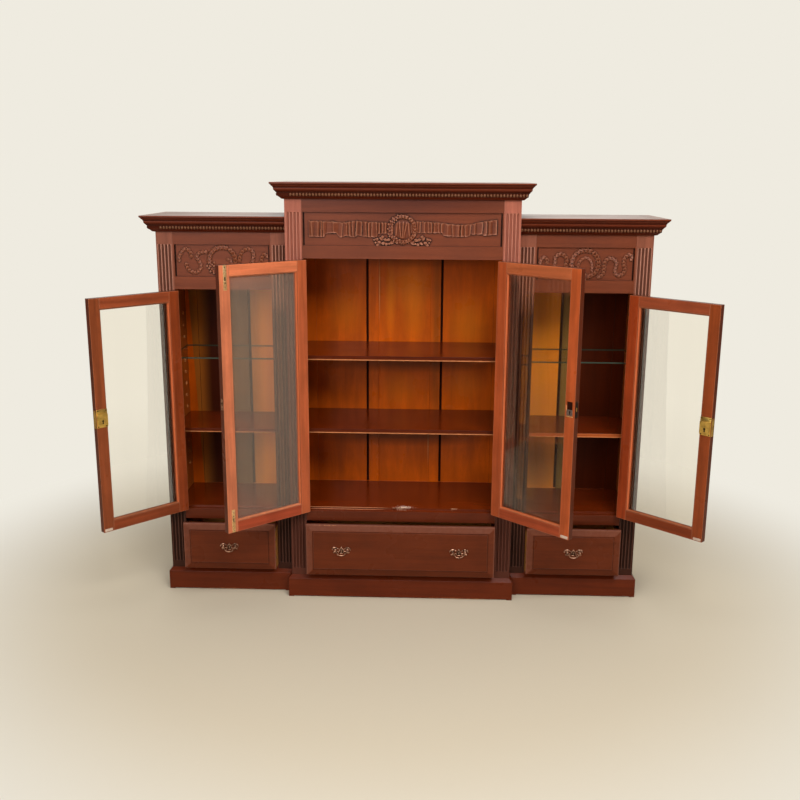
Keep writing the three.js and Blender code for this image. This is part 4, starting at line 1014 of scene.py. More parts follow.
# Where the ribbon folds, in millimetres from the middle, and how its edges run
FOLDS = {
    -1: [57, 64, 72, 84, 96, 104, 117, 130, 139, 152, 163, 176, 190, 203, 212, 226, 240, 262, 286, 301, 309, 321,
         334, 343, 352],
    1: [52, 59, 69, 80, 91, 101, 112, 123, 134, 145, 156, 171, 187, 200, 210, 220, 234, 247, 258, 270, 280, 302,
        318, 330, 341, 355],
}
RIBBON_TOP = {
    -1: [(50, 24), (110, 26), (170, 30), (230, 24), (290, 28), (355, 30)],
    1: [(50, 30), (110, 28), (160, 24), (200, 18), (250, 20), (300, 31), (355, 38)],
}
RIBBON_LOW = {
    -1: [(50, -16), (92, -17), (96, -30), (124, -31), (170, -24), (180, -32), (212, -26), (238, -33), (250, -16),
         (290, -17), (296, -31), (355, -30)],
    1: [(50, -14), (150, -13), (156, -24), (200, -27), (250, -26), (256, -18), (300, -17), (306, -22), (355, -18)],
}


def ribbon(gx, gz, sign, rng):
    """A pleated ribbon on one side: within each fold the surface climbs by the fold's own rise, and its ends
    zigzag by a few millimetres."""
    u = gx * sign
    folds = np.array([30.0, 40.0, *FOLDS[sign]])
    rise, base = rng.uniform(2.4, 6.4, len(folds)), rng.uniform(1.0, 2.4, len(folds))
    turned_over, zag = rng.random(len(folds)) < 0.35, rng.uniform(-3.5, 3.5, len(folds))
    lean = u + gz * np.interp(u, folds, rng.uniform(-0.10, 0.10, len(folds)))
    k = np.clip(np.searchsorted(folds, lean) - 1, 0, len(folds) - 2)
    share = np.clip((lean - folds[k]) / (folds[k + 1] - folds[k]), 0, 1)
    share = np.where(turned_over[k], 1 - share, share)
    body = base[k] + rise[k] * share**1.4
    top = np.interp(u, *np.array(RIBBON_TOP[sign]).T) + zag[k] * (share - 0.3)
    low = np.interp(u, *np.array(RIBBON_LOW[sign]).T) + zag[k - 1] * (share - 0.6)
    rim = np.minimum(gz - low, top - gz)
    roll = 0.7 * np.exp(-((rim - 1.4) / 1.6) ** 2)
    return np.where((u > 34) & (u < 355) & (rim > 0), (body + roll) * np.clip(rim / 0.8, 0, 1), 0)


def centre_relief(xs, zs, row):
    """The centre's carving: a pleated ribbon behind a laurel wreath with flowers, leaves and berries at its
    foot."""
    field = Carving(xs, zs, 0.0, row)
    gx, gz = np.meshgrid(field.xs, field.zs)
    rng = np.random.default_rng(21)
    for sign in (-1, 1):
        field.height = np.maximum(field.height, ribbon(gx, gz, sign, rng))
    # Folds that show inside the wreath
    for x, lean, high in ((-22, 0.1, 3.0), (-9, -0.12, 3.8), (2, 0.05, 5.0), (11, 0.2, 3.6), (24, -0.1, 3.2)):
        flame = high * np.exp(-((np.abs(gx - x - lean * gz) / 3.2) ** 1.5)) * np.clip((34 - np.abs(gz + 4)) / 8, 0, 1)
        field.height = np.maximum(field.height, flame)
    field.garland(ring_line(47.5, 60), 9.2, 7.9, 12.0, 0.34)
    for k in range(18):
        angle = math.radians(108 + 150 * (k + rng.random()) / 18)
        reach = 47.5 + (7.5, -7.5)[k % 2]
        field.berry(reach * math.cos(angle), reach * math.sin(angle), 3.2, 8.2)
    sprays = [(30, -46, -0.5, 20), (44, -38, -0.15, 18), (56, -42, 0.35, 17), (64, -50, -0.3, 17),
              (74, -40, 0.55, 16), (80, -49, -0.1, 16), (90, -43, 0.45, 15), (54, -52, -0.6, 14),
              (40, -28, 0.7, 15), (88, -54, -0.5, 14), (70, -32, 0.9, 12)]
    for sign in (-1, 1):
        for lx, lz, turn, size in sprays:
            jitter = 0.35 * (rng.random() - 0.5)
            angle = turn + jitter if sign > 0 else math.pi - turn - jitter
            field.leaf(sign * lx, lz, angle, size, 5.4, 4.0, 8.0)
        for bx, bz in ((101, -50), (72, -55), (106, -40), (94, -36), (50, -54)):
            field.berry(sign * bx, bz, 4.0, 7.6)
        field.rosette(sign * 22, -45, 9.5, 8.4, 5)
        field.rosette(sign * 42, -47, 7.0, 8.0, 5)
    field.rosette(0, -49, 10.5, 8.6, 6)
    return field.height


def frieze(node, x0, x1, bay, carving):
    """A frieze board: the sunk panel's floor lies 8 mm back, carving rises from it, and its two ends have a deeper
    quirk, painted dark as painted shade, that reads as a dark line. The carving's raised tops have lost less of their
    stain. Round the carving the hollows and outlines are darker and the edges lighter: partly old wax and rubbing,
    partly painted shade and painted highlights; painted shade also runs along the inside of the panel's rim."""
    low, high = bay["panel"]
    bottom, top = bay["opening"], bay["top"] - BOARD - SEAT
    sink0, sink1 = x0 + 5, x1 - 5
    sunk, quirk_wide, quirk_deep, wall = 8.0, 4.5, 7.0, 0.25
    step = 1.15 if bay is CENTRE else 0.8
    xs = np.concatenate([[x0, sink0 - 2, sink0 - wall], np.arange(sink0, sink1, step),
                         [sink1, sink1 + wall, sink1 + 2, x1]])
    zs = np.concatenate([[bottom, bottom + 2, low - 3, low - wall], np.arange(low, high, step),
                         [high, high + wall, high + 3, top]])
    gx, gz = np.meshgrid(xs, zs)
    inside = (gx >= sink0) & (gx <= sink1) & (gz >= low) & (gz <= high)
    quirk = ((gx < sink0 + quirk_wide) | (gx > sink1 - quirk_wide)) & inside
    raised = np.where(inside & ~quirk, carving(xs, zs), 0)
    depth = np.where(inside, sunk, 0.0) + np.where(quirk, quirk_deep, 0.0) - raised
    wear_and_light = np.where(inside, wear_and_light_by(raised, 3, 2.6), 0)
    # Darker hollows and outlines, lighter edges round the carving: partly old wax and rubbing, partly painted shade
    # and highlights
    wear_and_light = np.clip(np.where(wear_and_light < 0, 1.25 * wear_and_light, 1.6 * wear_and_light) - 0.3 * np.clip((raised - 4) / 3, 0, 1), -1, 1)
    rim = np.minimum(np.minimum(gx - sink0 - quirk_wide, sink1 - quirk_wide - gx), np.minimum(gz - low, high - gz))
    # Painted shade along the inside of the panel's rim
    wear_and_light = np.where(inside, wear_and_light - 0.5 * np.exp(-((np.clip(rim, 0, None) / 1.6) ** 2)), wear_and_light)
    # Painted shade in the quirks
    wear_and_light = np.where(quirk, -1.0, wear_and_light)
    piece(node + "_surface", relief_slab(xs, zs, depth, bay["face"], wear_and_light), FRIEZE_WOOD, axis=0, smooth=35,
          replaces=(node,))


half = CENTRE_EDGE - SEAT
frieze("centre_frieze", -half, half, CENTRE, lambda xs, zs: centre_relief(xs, zs, sum(CENTRE["panel"]) / 2))
for sign, side in ((-1, "left"), (1, "right")):
    a, b = sorted((sign * (WING_EDGE_IN + SEAT), sign * (WING_EDGE_OUT - SEAT)))
    frieze(f"{side}_frieze", a, b, WING,
           lambda xs, zs: wing_relief(xs, zs, (a + b) / 2, sum(WING["panel"]) / 2, sign))


# ---------- doors ----------
# Height of each lock's bolt, and on the left centre door of the strike plate that it meets
LOCKS = {"left_wing": 800, "left_centre": 873, "right_centre": 873, "right_wing": 800}
# The room for these bolts: half its height, and how far inwards it starts and ends
BOLT_RISE, BOLT_NEAR, BOLT_FAR = 7.3, PIN_OUT + 8.7, PIN_OUT + 15.3
# The flush bolts' line, from the free edge, and the room for their shoots: half its width, its start and end
LANE, SHOOT_HALF, SHOOT_NEAR, SHOOT_FAR = 24, 3.8, PIN_OUT + 16.4, PIN_OUT + 21


def hung(door):
    """Moves points from a shut door's own lengths (along from its hinge pin, inwards, up) to where it stands."""
    spec = DOORS[door]
    pin = (spec["hand"] * (spec["edge"] - HINGE_GAP / 2), spec["bay"]["face"] - PIN_OUT)

    def place(points):
        shut = np.array(points, float)
        shut[:, 0] = pin[0] - spec["hand"] * shut[:, 0]
        shut[:, 1] = pin[1] + shut[:, 1]
        return turn_about(shut, spec["hand"] * spec["angle"], pin)

    return place


def door_piece(door, name, solid, material, body=None, **rest):
    """A piece given in a shut door's own lengths. A right hand door mirrors them, so its faces are turned."""
    points, faces, *wear_and_light = solid
    if DOORS[door]["hand"] > 0:
        faces = [tuple(face)[::-1] for face in faces]
    return piece(f"{door}_{name}", (points, faces, *wear_and_light), material, body or f"{door}_door", place=hung(door), **rest)


def fitting(door, name, solid, metal, **rest):
    """A piece of a door's metalwork."""
    return door_piece(door, name, solid, metal, slot="brass", outward=True, **rest)


def sight_moulding(u0, u1, z0, z1, inner, outer, size):
    """A quarter-round bead round the glass, mitred at its corners: rings of the opening's rectangle, each
    further in and deeper than the last by the quarter round."""
    angle = np.linspace(0, np.pi / 2, 7)
    inset = np.concatenate([[0.0, 0.8, 0.8], 0.8 + (size - 0.8) * np.sin(angle)])
    level = np.concatenate([[outer, outer, outer + 0.25 * (inner - outer)],
                            inner + 0.72 * (outer - inner) * np.cos(angle)])
    rings = np.array([[(u0 + step, y, z0 + step), (u1 - step, y, z0 + step), (u1 - step, y, z1 - step),
                       (u0 + step, y, z1 - step)] for step, y in zip(inset, level)], float)
    # The bead's crown is lighter: a painted highlight
    wear_and_light = np.repeat([0, -0.2, -1, *np.linspace(0.7, 0.0, 7)], 4)
    return rings.reshape(-1, 3), quads(len(rings), 4, close_columns=True).tolist(), wear_and_light


def rounded_plate(u0, u1, z0, z1, y0, y1, radius=2.0):
    """A flat plate with rounded corners between two depths: its outline in quarter circles, at the back, at the
    front less a small ease, and pulled in a little at the front."""
    angle = np.linspace(0, np.pi / 2, 5)
    turns = [(u1 - radius, z1 - radius, 0), (u0 + radius, z1 - radius, 1), (u0 + radius, z0 + radius, 2),
             (u1 - radius, z0 + radius, 3)]
    outline = np.concatenate([np.stack([cu + radius * np.cos(angle + q * np.pi / 2),
                                        cz + radius * np.sin(angle + q * np.pi / 2)], -1) for cu, cz, q in turns])
    middle = np.array([(u0 + u1) / 2, (z0 + z1) / 2])
    ease = 0.35 * np.sign(y1 - y0)
    shrink = 1 - 0.35 / (min(u1 - u0, z1 - z0) / 2)
    rings = [(1.0, y0), (1.0, y1 - ease), (shrink, y1)]
    points = np.concatenate([np.insert(middle + (outline - middle) * s, 1, y, axis=1) for s, y in rings])
    return points, capped(3, len(outline))


def disc(u, z, y, radius, rise):
    """A low domed disc facing inwards on a door, such as a screw head: circles that shrink as the cosine and
    rise as the sine."""
    angle = np.linspace(0, np.pi / 2, 5)[1:-1]
    dome = [(radius * math.cos(a) ** 0.6, rise * math.sin(a)) for a in angle]
    return along_depth(turned([(radius, 0), *dome, (0.01, rise)], 16), u, 1, y, z)


def keyhole(u, z, y, size):
    """A keyhole: the outline of a circle over a flared slot, as a thin dark inlay."""
    angle = np.radians(np.linspace(-60, 240, 15))
    head = np.stack([u + size * np.cos(angle), z + size * np.sin(angle)], -1)
    outline = np.vstack([head, [(u - size * 0.75, z - size * 2.6), (u + size * 0.75, z - size * 2.6)]])
    return np.concatenate([np.insert(outline, 1, at, axis=1) for at in (y, y + 0.2)]), capped(2, len(outline))


def bolt_pockets(name, low, top):
    """Where a free stile is cut, and its pockets, each an axis, a depth and two corners: in its edge for a lock's
    bolt, and in both ends of the left centre door's stile for its flush bolts."""
    far, own = DOORS[name]["far"], name != "left_centre"
    z0, z1 = LOCKS[name] - BOLT_RISE, LOCKS[name] + BOLT_RISE
    pockets = [(0, 20.7 if own else 9.2, (far - 0.1, BOLT_NEAR, z0), (far + 0.1, BOLT_FAR, z1))]
    if own:
        return ((), (BOLT_NEAR, BOLT_FAR), (z0, z1)), pockets
    u0, u1 = far - LANE - SHOOT_HALF, far - LANE + SHOOT_HALF
    pockets += [(2, way * 31.5, (u0, SHOOT_NEAR, end - 0.1), (u1, SHOOT_FAR, end + 0.1))
                for way, end in ((1, top), (-1, low))]
    return ((u0, u1), (BOLT_NEAR, BOLT_FAR, SHOOT_NEAR, SHOOT_FAR), (z0, z1)), pockets


def door_boards(name):
    """Two stiles and two rails with eased, rubbed edges, and the beads that hold the pane on both faces."""
    spec = DOORS[name]
    bay, far = spec["bay"], spec["far"]
    low, top = bay["floor"] - 3, bay["opening"] - 3
    near = HINGE_GAP / 2
    y0, y1 = PIN_OUT, PIN_OUT + DOOR_THICK
    a, b = near + STILE, far - STILE
    c, d = low + RAIL, top - RAIL
    boards = {
        "hinge_stile": ((near, y0, low), (a - SIGHT, y1, top), 2),
        "free_stile": ((b + SIGHT, y0, low), (far, y1, top), 2),
        "lower_rail": ((a - SIGHT + 0.2, y0 + 0.15, low), (b + SIGHT - 0.2, y1 - 0.15, c - SIGHT), 0),
        "upper_rail": ((a - SIGHT + 0.2, y0 + 0.15, d + SIGHT), (b + SIGHT - 0.2, y1 - 0.15, top), 0),
    }
    for part, (lo, hi, axis) in boards.items():
        cuts, pockets = bolt_pockets(name, low, top) if part == "free_stile" else (((), (), ()), ())
        points, faces, wear_and_light = slab(lo, hi, 3, 0.5, cuts)
        for pocket in pockets:
            points, faces = mortised(points, faces, *pocket)
        wear_and_light = np.concatenate([wear_and_light, np.full(len(points) - len(wear_and_light), -0.6)])
        # Only the inner face keeps the paler wood; the edges and the outer face are stained as the carcass
        door_piece(name, part, (points, faces, wear_and_light), DOOR_WOODS[name][part], axis=axis, soften=0.9,
                   slot="door_mahogany", extra=(CARCASS,),
                   marks=[int(points[list(face), 1].min() < y1 - 0.2) for face in faces],
                   replaces=(f"{name}_door_frame",) if part == "hinge_stile" else ())
    for part, outer, inner in (("outer_sight", y0 + 0.6, y0 + 8.9), ("inner_sight", y1 - 0.6, y0 + 13.1)):
        points, faces, wear_and_light = sight_moulding(a - SIGHT, b + SIGHT, c - SIGHT, d + SIGHT, inner, outer, SIGHT)
        if outer < inner:
            faces = [tuple(face)[::-1] for face in faces]
        door_piece(name, part, (points, faces, wear_and_light), BEAD_WOOD, smooth=40, slot="door_mahogany",
                   extra=(DOOR_WOODS[name]["free_stile"],), marks=np.tile([1, 1, 1, 0], len(faces) // 4))
    if name != "left_centre":
        pad = rounded_plate(far - 36, far - 4, low + 3, low + 13, y1 - 0.5, y1 + 1.2)
        door_piece(name, "bumper_pad", pad, PAD, slot="door_mahogany", outward=True)


def edge_plate(name, part, half, metal):
    """The plate on a door's edge that a bolt passes."""
    far, level = DOORS[name]["far"], LOCKS[name]
    plate = pierced((far - 0.5, PIN_OUT + 5, level - half), (far + 0.3, PIN_OUT + 21, level + half),
                    (far - 1, BOLT_NEAR, level - BOLT_RISE), (far + 1, BOLT_FAR, level + BOLT_RISE))
    fitting(name, part, plate, metal)


def escutcheon(name, u):
    """A small brass keyhole plate on a door's outer face."""
    level = LOCKS[name] - 6
    plate = rounded_plate(u - 7, u + 7, level - 17, level + 13, PIN_OUT + 0.5, PIN_OUT - 0.9, 6.5)
    fitting(name, "escutcheon", plate, OLD_BRASS, smooth=30)
    fitting(name, "escutcheon_keyhole", keyhole(u, level, PIN_OUT - 1.0, 2.4), DARK_METAL)


def rim_lock(name):
    """A brass rim lock: back plate with four screws, a raised case with its keyhole, and on the door's edge the
    plate that the bolt passes."""
    far, level = DOORS[name]["far"], LOCKS[name]
    plate = rounded_plate(far - 44.5, far - 0.8, level - 32, level + 38, INSIDE - 1, INSIDE + 1.4)
    case = rounded_plate(far - 43, far - 2, level - 24, level + 21, INSIDE, INSIDE + 7.5, 1.2)
    fitting(name, "lock_plate", plate, BRASS, smooth=30)
    fitting(name, "lock_case", case, BRASS, smooth=30)
    fitting(name, "lock_keyhole", keyhole(far - 22.5, level - 6, INSIDE + 7.4, 4.2), DARK_METAL)
    heads = [disc(u, z, INSIDE + 1.3, 2.6, 0.9) for u in (far - 39, far - 6.5) for z in (level - 28, level + 33)]
    fitting(name, "lock_screws", joined(*heads), DARK_METAL, smooth=40)
    edge_plate(name, "lock_edge_plate", 34, BRASS)
    escutcheon(name, far - 22.5)


def mortise_lock(name):
    """The old mortise of the right centre door: a pocket painted dark, as painted shade, with the lock's worn steel
    face at its foot, and wood that has broken away beside it."""
    middle, level = DOORS[name]["far"] - 22, LOCKS[name]
    for part, half, low, high, rise, radius, material, smooth in (
            ("lock_pocket", 12, -4, 28, 0.15, 0.8, SHADOW_WOOD, None),
            ("lock_face", 13, -24, -2, 0.9, 1.5, STEEL, 30),
            ("lock_face_band", 15, -29, -25.5, 0.7, 0.8, PALE_BRASS, 30)):
        plate = rounded_plate(middle - half, middle + half, level + low, level + high, INSIDE - 1, INSIDE + rise,
                              radius)
        fitting(name, part, plate, material, smooth=smooth)
    fitting(name, "lock_keyhole", keyhole(middle + 1, level - 10, INSIDE + 0.8, 3.6), DARK_METAL)
    chip = rounded_plate(middle - 17, middle - 12.5, level - 8, level + 14, INSIDE - 1, INSIDE + 0.2, 1.8)
    door_piece(name, "broken_wood", chip, PALE_CHIP, slot="door_mahogany", outward=True)
    edge_plate(name, "lock_edge_plate", 30, DARK_METAL)
    escutcheon(name, middle)


def flush_bolt(name, place, end, way):
    """A flush bolt: a let-in plate with a dark slot and two screws, fixed to the door; the knob and the shoot
    that slide are one piece on the bolt's own body."""
    lane, middle, node = DOORS[name]["far"] - LANE, end - way * 54, f"{name}_{place}_flush_bolt"
    z0, z1 = sorted((end - way * 0.3, end - way * 90))
    plate = rounded_plate(lane - 7, lane + 7, z0, z1, INSIDE - 2, INSIDE + 0.7, 1.2)
    slot = rounded_plate(lane - 2.6, lane + 2.6, middle - 13, middle + 13, INSIDE, INSIDE + 0.85, 2.4)
    heads = [disc(lane, end - way * reach, INSIDE + 0.6, 2.4, 0.8) for reach in (8, 80)]
    knob = disc(lane, middle - way * 5, INSIDE + 0.4, 3.0, 2.4)
    shoot = slab((lane - 3, SHOOT_NEAR + 0.8, end - way * 30), (lane + 3, SHOOT_FAR - 0.8, end - way * 0.3))
    fitting(name, f"{place}_bolt_plate", plate, PALE_BRASS, smooth=30)
    fitting(name, f"{place}_bolt_slot", slot, DARK_METAL)
    fitting(name, f"{place}_bolt_screws", joined(*heads), OLD_BRASS, smooth=40)
    fitting(name, f"{place}_flush_bolt_slide", joined(knob, shoot), PALE_BRASS, body=node, smooth=40,
            replaces=(node,))


def given(node, material):
    """Gives one of the model's own pieces its material."""
    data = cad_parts[node].data
    data.materials.clear()
    data.materials.append(material)


for name in DOORS:
    door_boards(name)
    given(f"{name}_door_glass", REFLECTION_VEILED_GLASS if name == "left_centre" else GLASS)
for side in ("left", "right"):
    lo, hi = (np.array(corner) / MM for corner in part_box(f"{side}_glass_shelf"))
    piece(f"{side}_glass_shelf_pane", slab(lo, hi)[:2], GLASS, axis=0, soften=0.8, slot="clear_glass",
          extra=(GLASS_EDGE,), marks=[1, 1, 1, 1, 0, 0], replaces=(f"{side}_glass_shelf",))
rim_lock("left_wing")
rim_lock("right_wing")
mortise_lock("right_centre")
flush_bolt("left_centre", "upper", CENTRE["opening"] - 3, 1)
flush_bolt("left_centre", "lower", CENTRE["floor"] - 3, -1)
edge_plate("left_centre", "strike_plate", 21, OLD_BRASS)


# ---------- hinges and bolts ----------
def knuckle(level):
    """A moving hinge leaf's middle knuckle with the edge of its leaf, let into the door's edge."""
    barrel = turned([(0.01, level - 12.6), (3.4, level - 12.6), (4.0, level - 12.1), (4.0, level + 12.1),
                     (3.4, level + 12.6), (0.01, level + 12.6)])
    return joined(barrel, slab((1.2, 2.0, level - 37), (1.6, 24, level + 37)))


for name, spec in DOORS.items():
    low, top = spec["bay"]["floor"] - 3, spec["bay"]["opening"] - 3
    for place, level in (("lower", low + 110), ("upper", top - 110)):
        given(f"{name}_{place}_hinge", OLD_BRASS)
        fitting(name, f"{place}_knuckle", knuckle(level), OLD_BRASS, smooth=30)
for name in ("left_wing", "right_centre", "right_wing"):
    given(f"{name}_lock_bolt", BRASS)


# ---------- drawers ----------
def drawer_front(x0, x1, z0, z1, front):
    """A front with a raised field: the depth depends only on the distance from the nearest edge, a small round,
    a wide rising bevel, a fillet and the flat field."""
    insets = np.array([0, 0.4, 1.2, 3, 6, 12, 18, 24, 27.2, 28, 28.6, 29.2, 29.8, 31, 33, 38])
    depths = np.interp(insets, [0, 0.4, 1.2, 28, 28.6, 29.2, 29.8, 38], [7.6, 6.8, 6.4, 1.6, 1.7, 0.6, 0.0, 0.0])
    worn = np.interp(insets, [0, 0.4, 1.2, 4, 24, 28, 28.6, 29.8, 31, 34],
                     [0.9, 0.9, 0.6, 0, 0, -0.6, -0.6, 0.3, 0.1, 0])

    def lines(a, b):
        inner = np.linspace(a + 38, b - 38, max(2, int((b - a - 76) / 40)))
        return np.concatenate([a + insets[:-1], inner, b - insets[:-1][::-1]])

    xs, zs = lines(x0, x1), lines(z0, z1)
    gx, gz = np.meshgrid(xs, zs)
    inset = np.minimum(np.minimum(gx - x0, x1 - gx), np.minimum(gz - z0, z1 - gz))
    # The bevels look up, left, right and down; painted light: the upper bevel, facing the light, is lightest, the
    # left one less, the right one less again, the lower one darker, with a painted shadow line along the bottom edge
    nearest = np.stack([z1 - gz, gx - x0, x1 - gx, gz - z0]).round(3).argmin(0)
    bevel = np.interp(inset, [1.2, 3, 26, 28], [0, 1, 1, 0]) * np.array([0.5, 0.36, 0.12, -0.2])[nearest]
    wear_and_light = np.where((nearest == 3) & (inset < 2), -0.8, np.interp(inset, insets, worn) + bevel)
    return relief_slab(xs, zs, np.interp(inset, insets, depths), front, wear_and_light)


def drawer(node, x0, x1, bay, out):
    """A drawer that stands out by some millimetres: its front, walls, rear wall, bottom and dovetails."""
    front = bay["face"] - out
    low, top = 110.3, bay["floor"] - 51
    rim = top - 22
    back = BACK_SHEET - 24 - out
    piece(node + "_front", drawer_front(x0, x1, low, top, front), DRAWER_FACE, node, axis=0, replaces=(node,))
    parts = {
        "left_wall": ((x0, front + FACE_BOARD, low), (x0 + 12, back, rim), 1),
        "right_wall": ((x1 - 12, front + FACE_BOARD, low), (x1, back, rim), 1),
        "rear_wall": ((x0 + 12, back - 12, low + 14), (x1 - 12, back, rim), 0),
        "bottom": ((x0 + 8, front + FACE_BOARD - 4, low + 8), (x1 - 8, back, low + 14), 0),
    }
    # The walls' top faces take the dark carcass colour: painted shade in the gap above the drawer
    for part, (lo, hi, axis) in parts.items():
        piece(f"{node}_{part}", slab(lo, hi, 3, 0.3), DRAWER_WOOD, node, axis=axis, soften=0.8,
              extra=(CARCASS,), marks=np.repeat([0, 0, 0, 0, 0, int(part != "bottom")], CELLS))
    # Half-blind dovetails: the wall's tails let into each end of the front
    count = 5 if top - low > 200 else 4
    pitch = (rim - low - 14) / count
    sides = [(0, 1, 3, 2), (4, 6, 7, 5), (0, 4, 5, 1), (2, 3, 7, 6), (0, 2, 6, 4), (1, 5, 7, 3)]
    for sign, edge, label in ((-1, x0, "left"), (1, x1, "right")):
        tails = [([(x, y, low + 10 + (k + 0.5) * pitch + h) for x in (edge - sign, edge + sign * 0.15)
                   for y, half in ((front + FACE_BOARD + 0.2, pitch * 0.30), (front + 9, pitch * 0.42))
                   for h in (-half, half)], sides) for k in range(count)]
        piece(f"{node}_{label}_tails", joined(*tails), DRAWER_WOOD, node, axis=1, outward=True)


drawer("centre_drawer", -CENTRE_EDGE + 2, CENTRE_EDGE - 2, CENTRE, 50)
for sign, side in ((-1, "left"), (1, "right")):
    a, b = sorted((sign * (WING_EDGE_IN + 2), sign * (WING_EDGE_OUT - 2)))
    drawer(f"{side}_drawer", a, b, WING, 60)


# ---------- drawer pulls ----------
def lobe(cx, cz, rx, rz, tilt, rise, front, x, level):
    """One lobe of a cast plate: an ellipse whose surface rises to the middle as a flattened dome, with a sunk
    line round its edge. Its back is flat."""
    steps = 22
    share = np.array([0.02, 0.3, 0.55, 0.74, 0.86, 0.93, 1.0])
    lift = np.array([1.0, 0.93, 0.78, 0.6, 0.5, 0.62, 0.5])
    angle = np.linspace(0, 2 * np.pi, steps, endpoint=False)
    c, s = math.cos(math.radians(tilt)), math.sin(math.radians(tilt))
    u, v = rx * share[:, None] * np.cos(angle), rz * share[:, None] * np.sin(angle)
    top = np.stack([x + cx + u * c - v * s, np.repeat(front - rise * lift[:, None], steps, 1),
                    level + cz + u * s + v * c], -1)
    foot = top[-1:].copy()
    foot[..., 1] = front
    points = np.concatenate([top, foot]).reshape(-1, 3)
    return points, capped(len(share) + 1, steps), np.repeat([*(lift - 0.75) * 2.0, -1.0], steps)


def pull(label, x, bay, out, level, drawer_node):
    """A bail pull: a pierced plate of scrolled lobes round a shield, two posts with round heads, and a bail that
    swells to its middle. Each lobe is a place, two half widths, a tilt and a rise."""
    back = bay["face"] - out - SEAT
    brass = dict(slot="aged_brass", outward=True)
    lobes = [(0, 1, 9.0, 10.0, 0, 1.4), (0, 13.5, 3.0, 4.0, 0, 3.0), (0, -9.5, 7.0, 2.0, 0, 2.6),
             (0, -20, 2.2, 3.4, 0, 2.4), (0, 0.5, 3.0, 4.6, 0, 2.6)]
    sides = [(24, 4, 5.4, 5.4, 0, 3.2), (26, 13.5, 9.0, 3.4, -8, 2.8), (33.5, 10, 3.6, 3.2, 0, 2.6),
             (36, 5, 2.4, 2.6, 0, 2.0), (29.5, -6.5, 3.6, 3.2, 0, 2.6), (24, -8, 5.0, 1.8, 35, 1.8),
             (13.5, 9.5, 6.4, 1.7, 22, 2.0), (14, -2, 6.2, 1.6, -12, 1.8), (12.5, -9, 1.9, 6.2, 30, 2.0),
             (8.4, 1, 2.0, 6.6, 16, 2.8), (4.6, 9.2, 1.9, 5.0, 38, 2.8)]
    lobes += [(sx * cx, cz, rx, rz, sx * tilt, rise) for sx in (-1, 1) for cx, cz, rx, rz, tilt, rise in sides]
    solids = [lobe(*row, back, x, level) for row in lobes]
    wear_and_light = np.concatenate([solid[2] for solid in solids])
    # The shield's field, the first lobe, is dark with old polish
    wear_and_light[: len(solids[0][2])] = -1.0
    piece(label + "_pull_plate_casting", (*joined(*solids), wear_and_light), OLD_BRASS, drawer_node, smooth=50,
          replaces=(label + "_pull_plate",), **brass)
    stem = turned([(0.01, 0), (4.6, 0), (4.6, 2.4), (3.4, 3.6), (2.4, 4.4), (2.4, 8.6), (3.4, 9.6), (4.3, 11.4),
                   (4.3, 13.4), (3.6, 15.2), (2.2, 16.4), (0.01, 16.8)], 20)
    posts = [along_depth(stem, x + s * 25, -1, back - 1.2, level + 3) for s in (-1, 1)]
    piece(label + "_posts", joined(*posts), OLD_BRASS, drawer_node, smooth=40, **brass)
    axis_y = back - 2.2 - 14 + 5
    right = [(26, 0), (22, -0.4), (19.6, -3.6), (18.2, -8.5), (15.4, -13.2), (10.0, -16.8), (4.5, -18.2), (0, -18.6)]
    line = smooth_line(right + [(-u, v) for u, v in right[-2::-1]], 6)
    line = np.stack([x + line[:, 0], np.full(len(line), axis_y), level + 3 + line[:, 1]], -1)
    share = np.linspace(-1, 1, len(line))
    radius = 1.4 + 0.9 * np.exp(-(share / 0.4) ** 2) + 0.5 * np.exp(-(share / 0.05) ** 2)
    piece(label + "_bail_casting", tube(line, radius), OLD_BRASS, label + "_bail", smooth=50,
          replaces=(label + "_bail",), **brass)


for label, x in (("centre_left", -236.5), ("centre_right", 236.5)):
    pull(label, x, CENTRE, 50, 218.15, "centre_drawer")
for label, x in (("left", -699.65), ("right", 699.65)):
    pull(label, x, WING, 60, 208.15, f"{label}_drawer")


# ---------- stage, light and camera ----------
def seen_straight(node):
    """1 for the rays that show the background: the camera's own and those that glass lets through."""
    ray = node("LightPath").outputs
    return node("Math", [ray["Is Camera Ray"], ray["Is Transmission Ray"]], operation="MAXIMUM")


def aimed(right, up, back, at):
    """The matrix of a lamp or camera, from its own three axes and its place."""
    turn = np.eye(4)
    turn[:3] = np.stack([right, up, back, at], 1)
    return Matrix(turn.tolist())


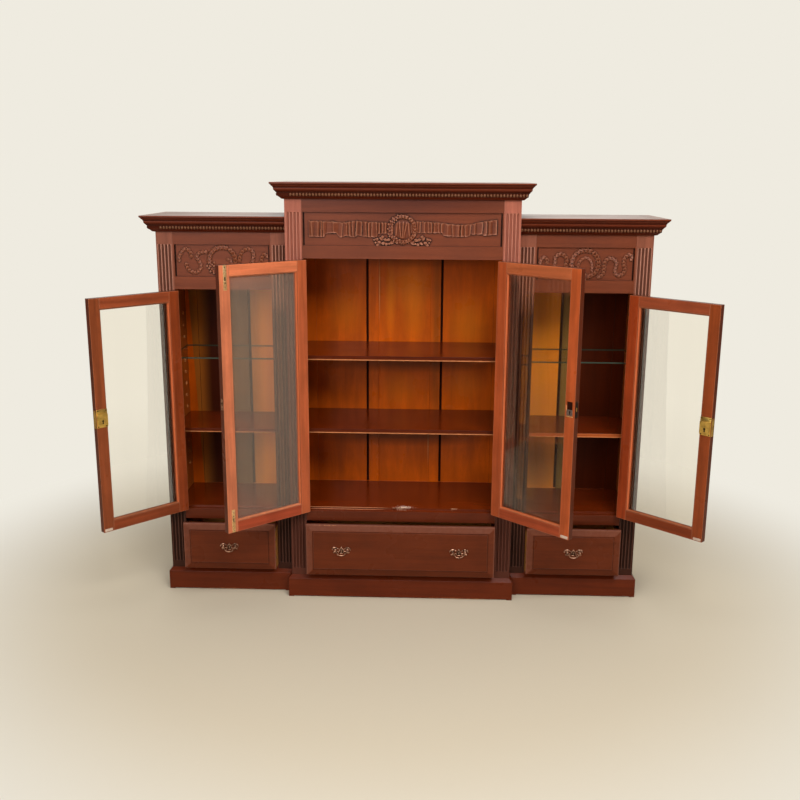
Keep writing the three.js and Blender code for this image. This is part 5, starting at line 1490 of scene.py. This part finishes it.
def stage():
    """A plain pale floor that fades into the pale background away from the bookcase, soft lamps and a pale
    world. The fade is by distance from the middle of the floor, the same from every side."""
    backdrop = linear("#efebe0")
    mesh = bpy.data.meshes.new("studio_floor")
    angle = np.linspace(0, 2 * np.pi, 96, endpoint=False)
    radius = np.array([0.05, 1.5, 3.0, 6.0, 14.0])
    points = np.stack([radius[:, None] * np.cos(angle), radius[:, None] * np.sin(angle), np.zeros((5, 96))], -1)
    faces = quads(5, 96, close_columns=True)[:, ::-1].tolist() + [list(range(96))]
    mesh.from_pydata(points.reshape(-1, 3).tolist(), [], faces)
    floor = placed("studio_floor", mesh)
    material, node = new_material("pale_matt_floor")
    place = node("TexCoord").outputs["Object"]
    away = node("VectorMath", [place, (0.0, -0.2, 0.0)], operation="DISTANCE")
    seen = seen_straight(node)
    fade = node("MapRange", [away, 1.15, 2.35], interpolation_type="SMOOTHSTEP")
    shader = node("BsdfPrincipled", {"Base Color": linear("#cfc2aa"), "Roughness": 0.8})
    glow = node("Emission", [backdrop, 1.0])
    shown = node("Math", [fade, seen], operation="MULTIPLY")
    node("OutputMaterial", {"Surface": node("MixShader", [shown, shader, glow])})
    mesh.materials.append(material)
    world = bpy.data.worlds.new("soft_studio")
    bpy.context.scene.world = world
    world.use_nodes = True
    world.node_tree.nodes.clear()
    node = partial(add, world.node_tree)
    # More light comes from behind than from in front
    way = node("SeparateXYZ", [node("TexCoord").outputs["Generated"]]).outputs["Y"]
    level = node("MapRange", [way, 0.0, 0.8, 0.12, 0.85], interpolation_type="SMOOTHSTEP")
    lit = node("Background", [linear("#f4efe6"), level])
    shown = node("Background", [backdrop, 1.0])
    node("OutputWorld", {"Surface": node("MixShader", [seen_straight(node), lit, shown])})
    lamps = [
        ("key_lamp", (1.3, -3.6, 3.7), (2.4, 1.8), 150.0, (0.0, -0.1, 0.9)),
        ("fill_lamp", (-1.6, -4.6, 2.4), (2.4, 1.8), 85.0, (0.0, -0.1, 0.8)),
        ("top_lamp", (0.0, -1.4, 4.4), (3.6, 1.6), 45.0, (0.0, -0.3, 0.8)),
        ("back_lamp", (0.0, 3.4, 3.2), (3.6, 2.0), 25.0, (0.0, 0.0, 0.8)),
    ]
    for name, at, size, power, target in lamps:
        data = bpy.data.lights.new(name, "AREA")
        data.shape = "RECTANGLE"
        data.size, data.size_y = size
        data.energy = power
        way = np.array(target) - np.array(at)
        way /= np.linalg.norm(way)
        right = np.cross(way, [0, 0, 1])
        right /= np.linalg.norm(right)
        placed(name, data).matrix_world = aimed(right, np.cross(right, way), -way, at)


def camera():
    """The photograph's own view, found by fitting a pinhole camera to the bookcase."""
    yaw, pitch, roll = -0.0334, -0.2342, 0.0058
    focal_pixels, picture_pixels = 951.995, 800
    forward = np.array([math.sin(yaw) * math.cos(pitch), math.cos(yaw) * math.cos(pitch), math.sin(pitch)])
    right = np.array([math.cos(yaw), -math.sin(yaw), 0])
    up = np.cross(right, forward)
    across = math.cos(roll) * right + math.sin(roll) * up
    upward = -math.sin(roll) * right + math.cos(roll) * up
    data = bpy.data.cameras.new("photo_camera")
    data.sensor_width = 36.0
    data.lens = focal_pixels / picture_pixels * data.sensor_width
    data.clip_end = 200
    made = placed("photo_camera", data)
    made.matrix_world = aimed(across, upward, -forward, (0.11624, -4.0059, 1.70121))
    bpy.context.scene.camera = made


stage()
camera()
bpy.context.scene.view_settings.view_transform = "Standard"
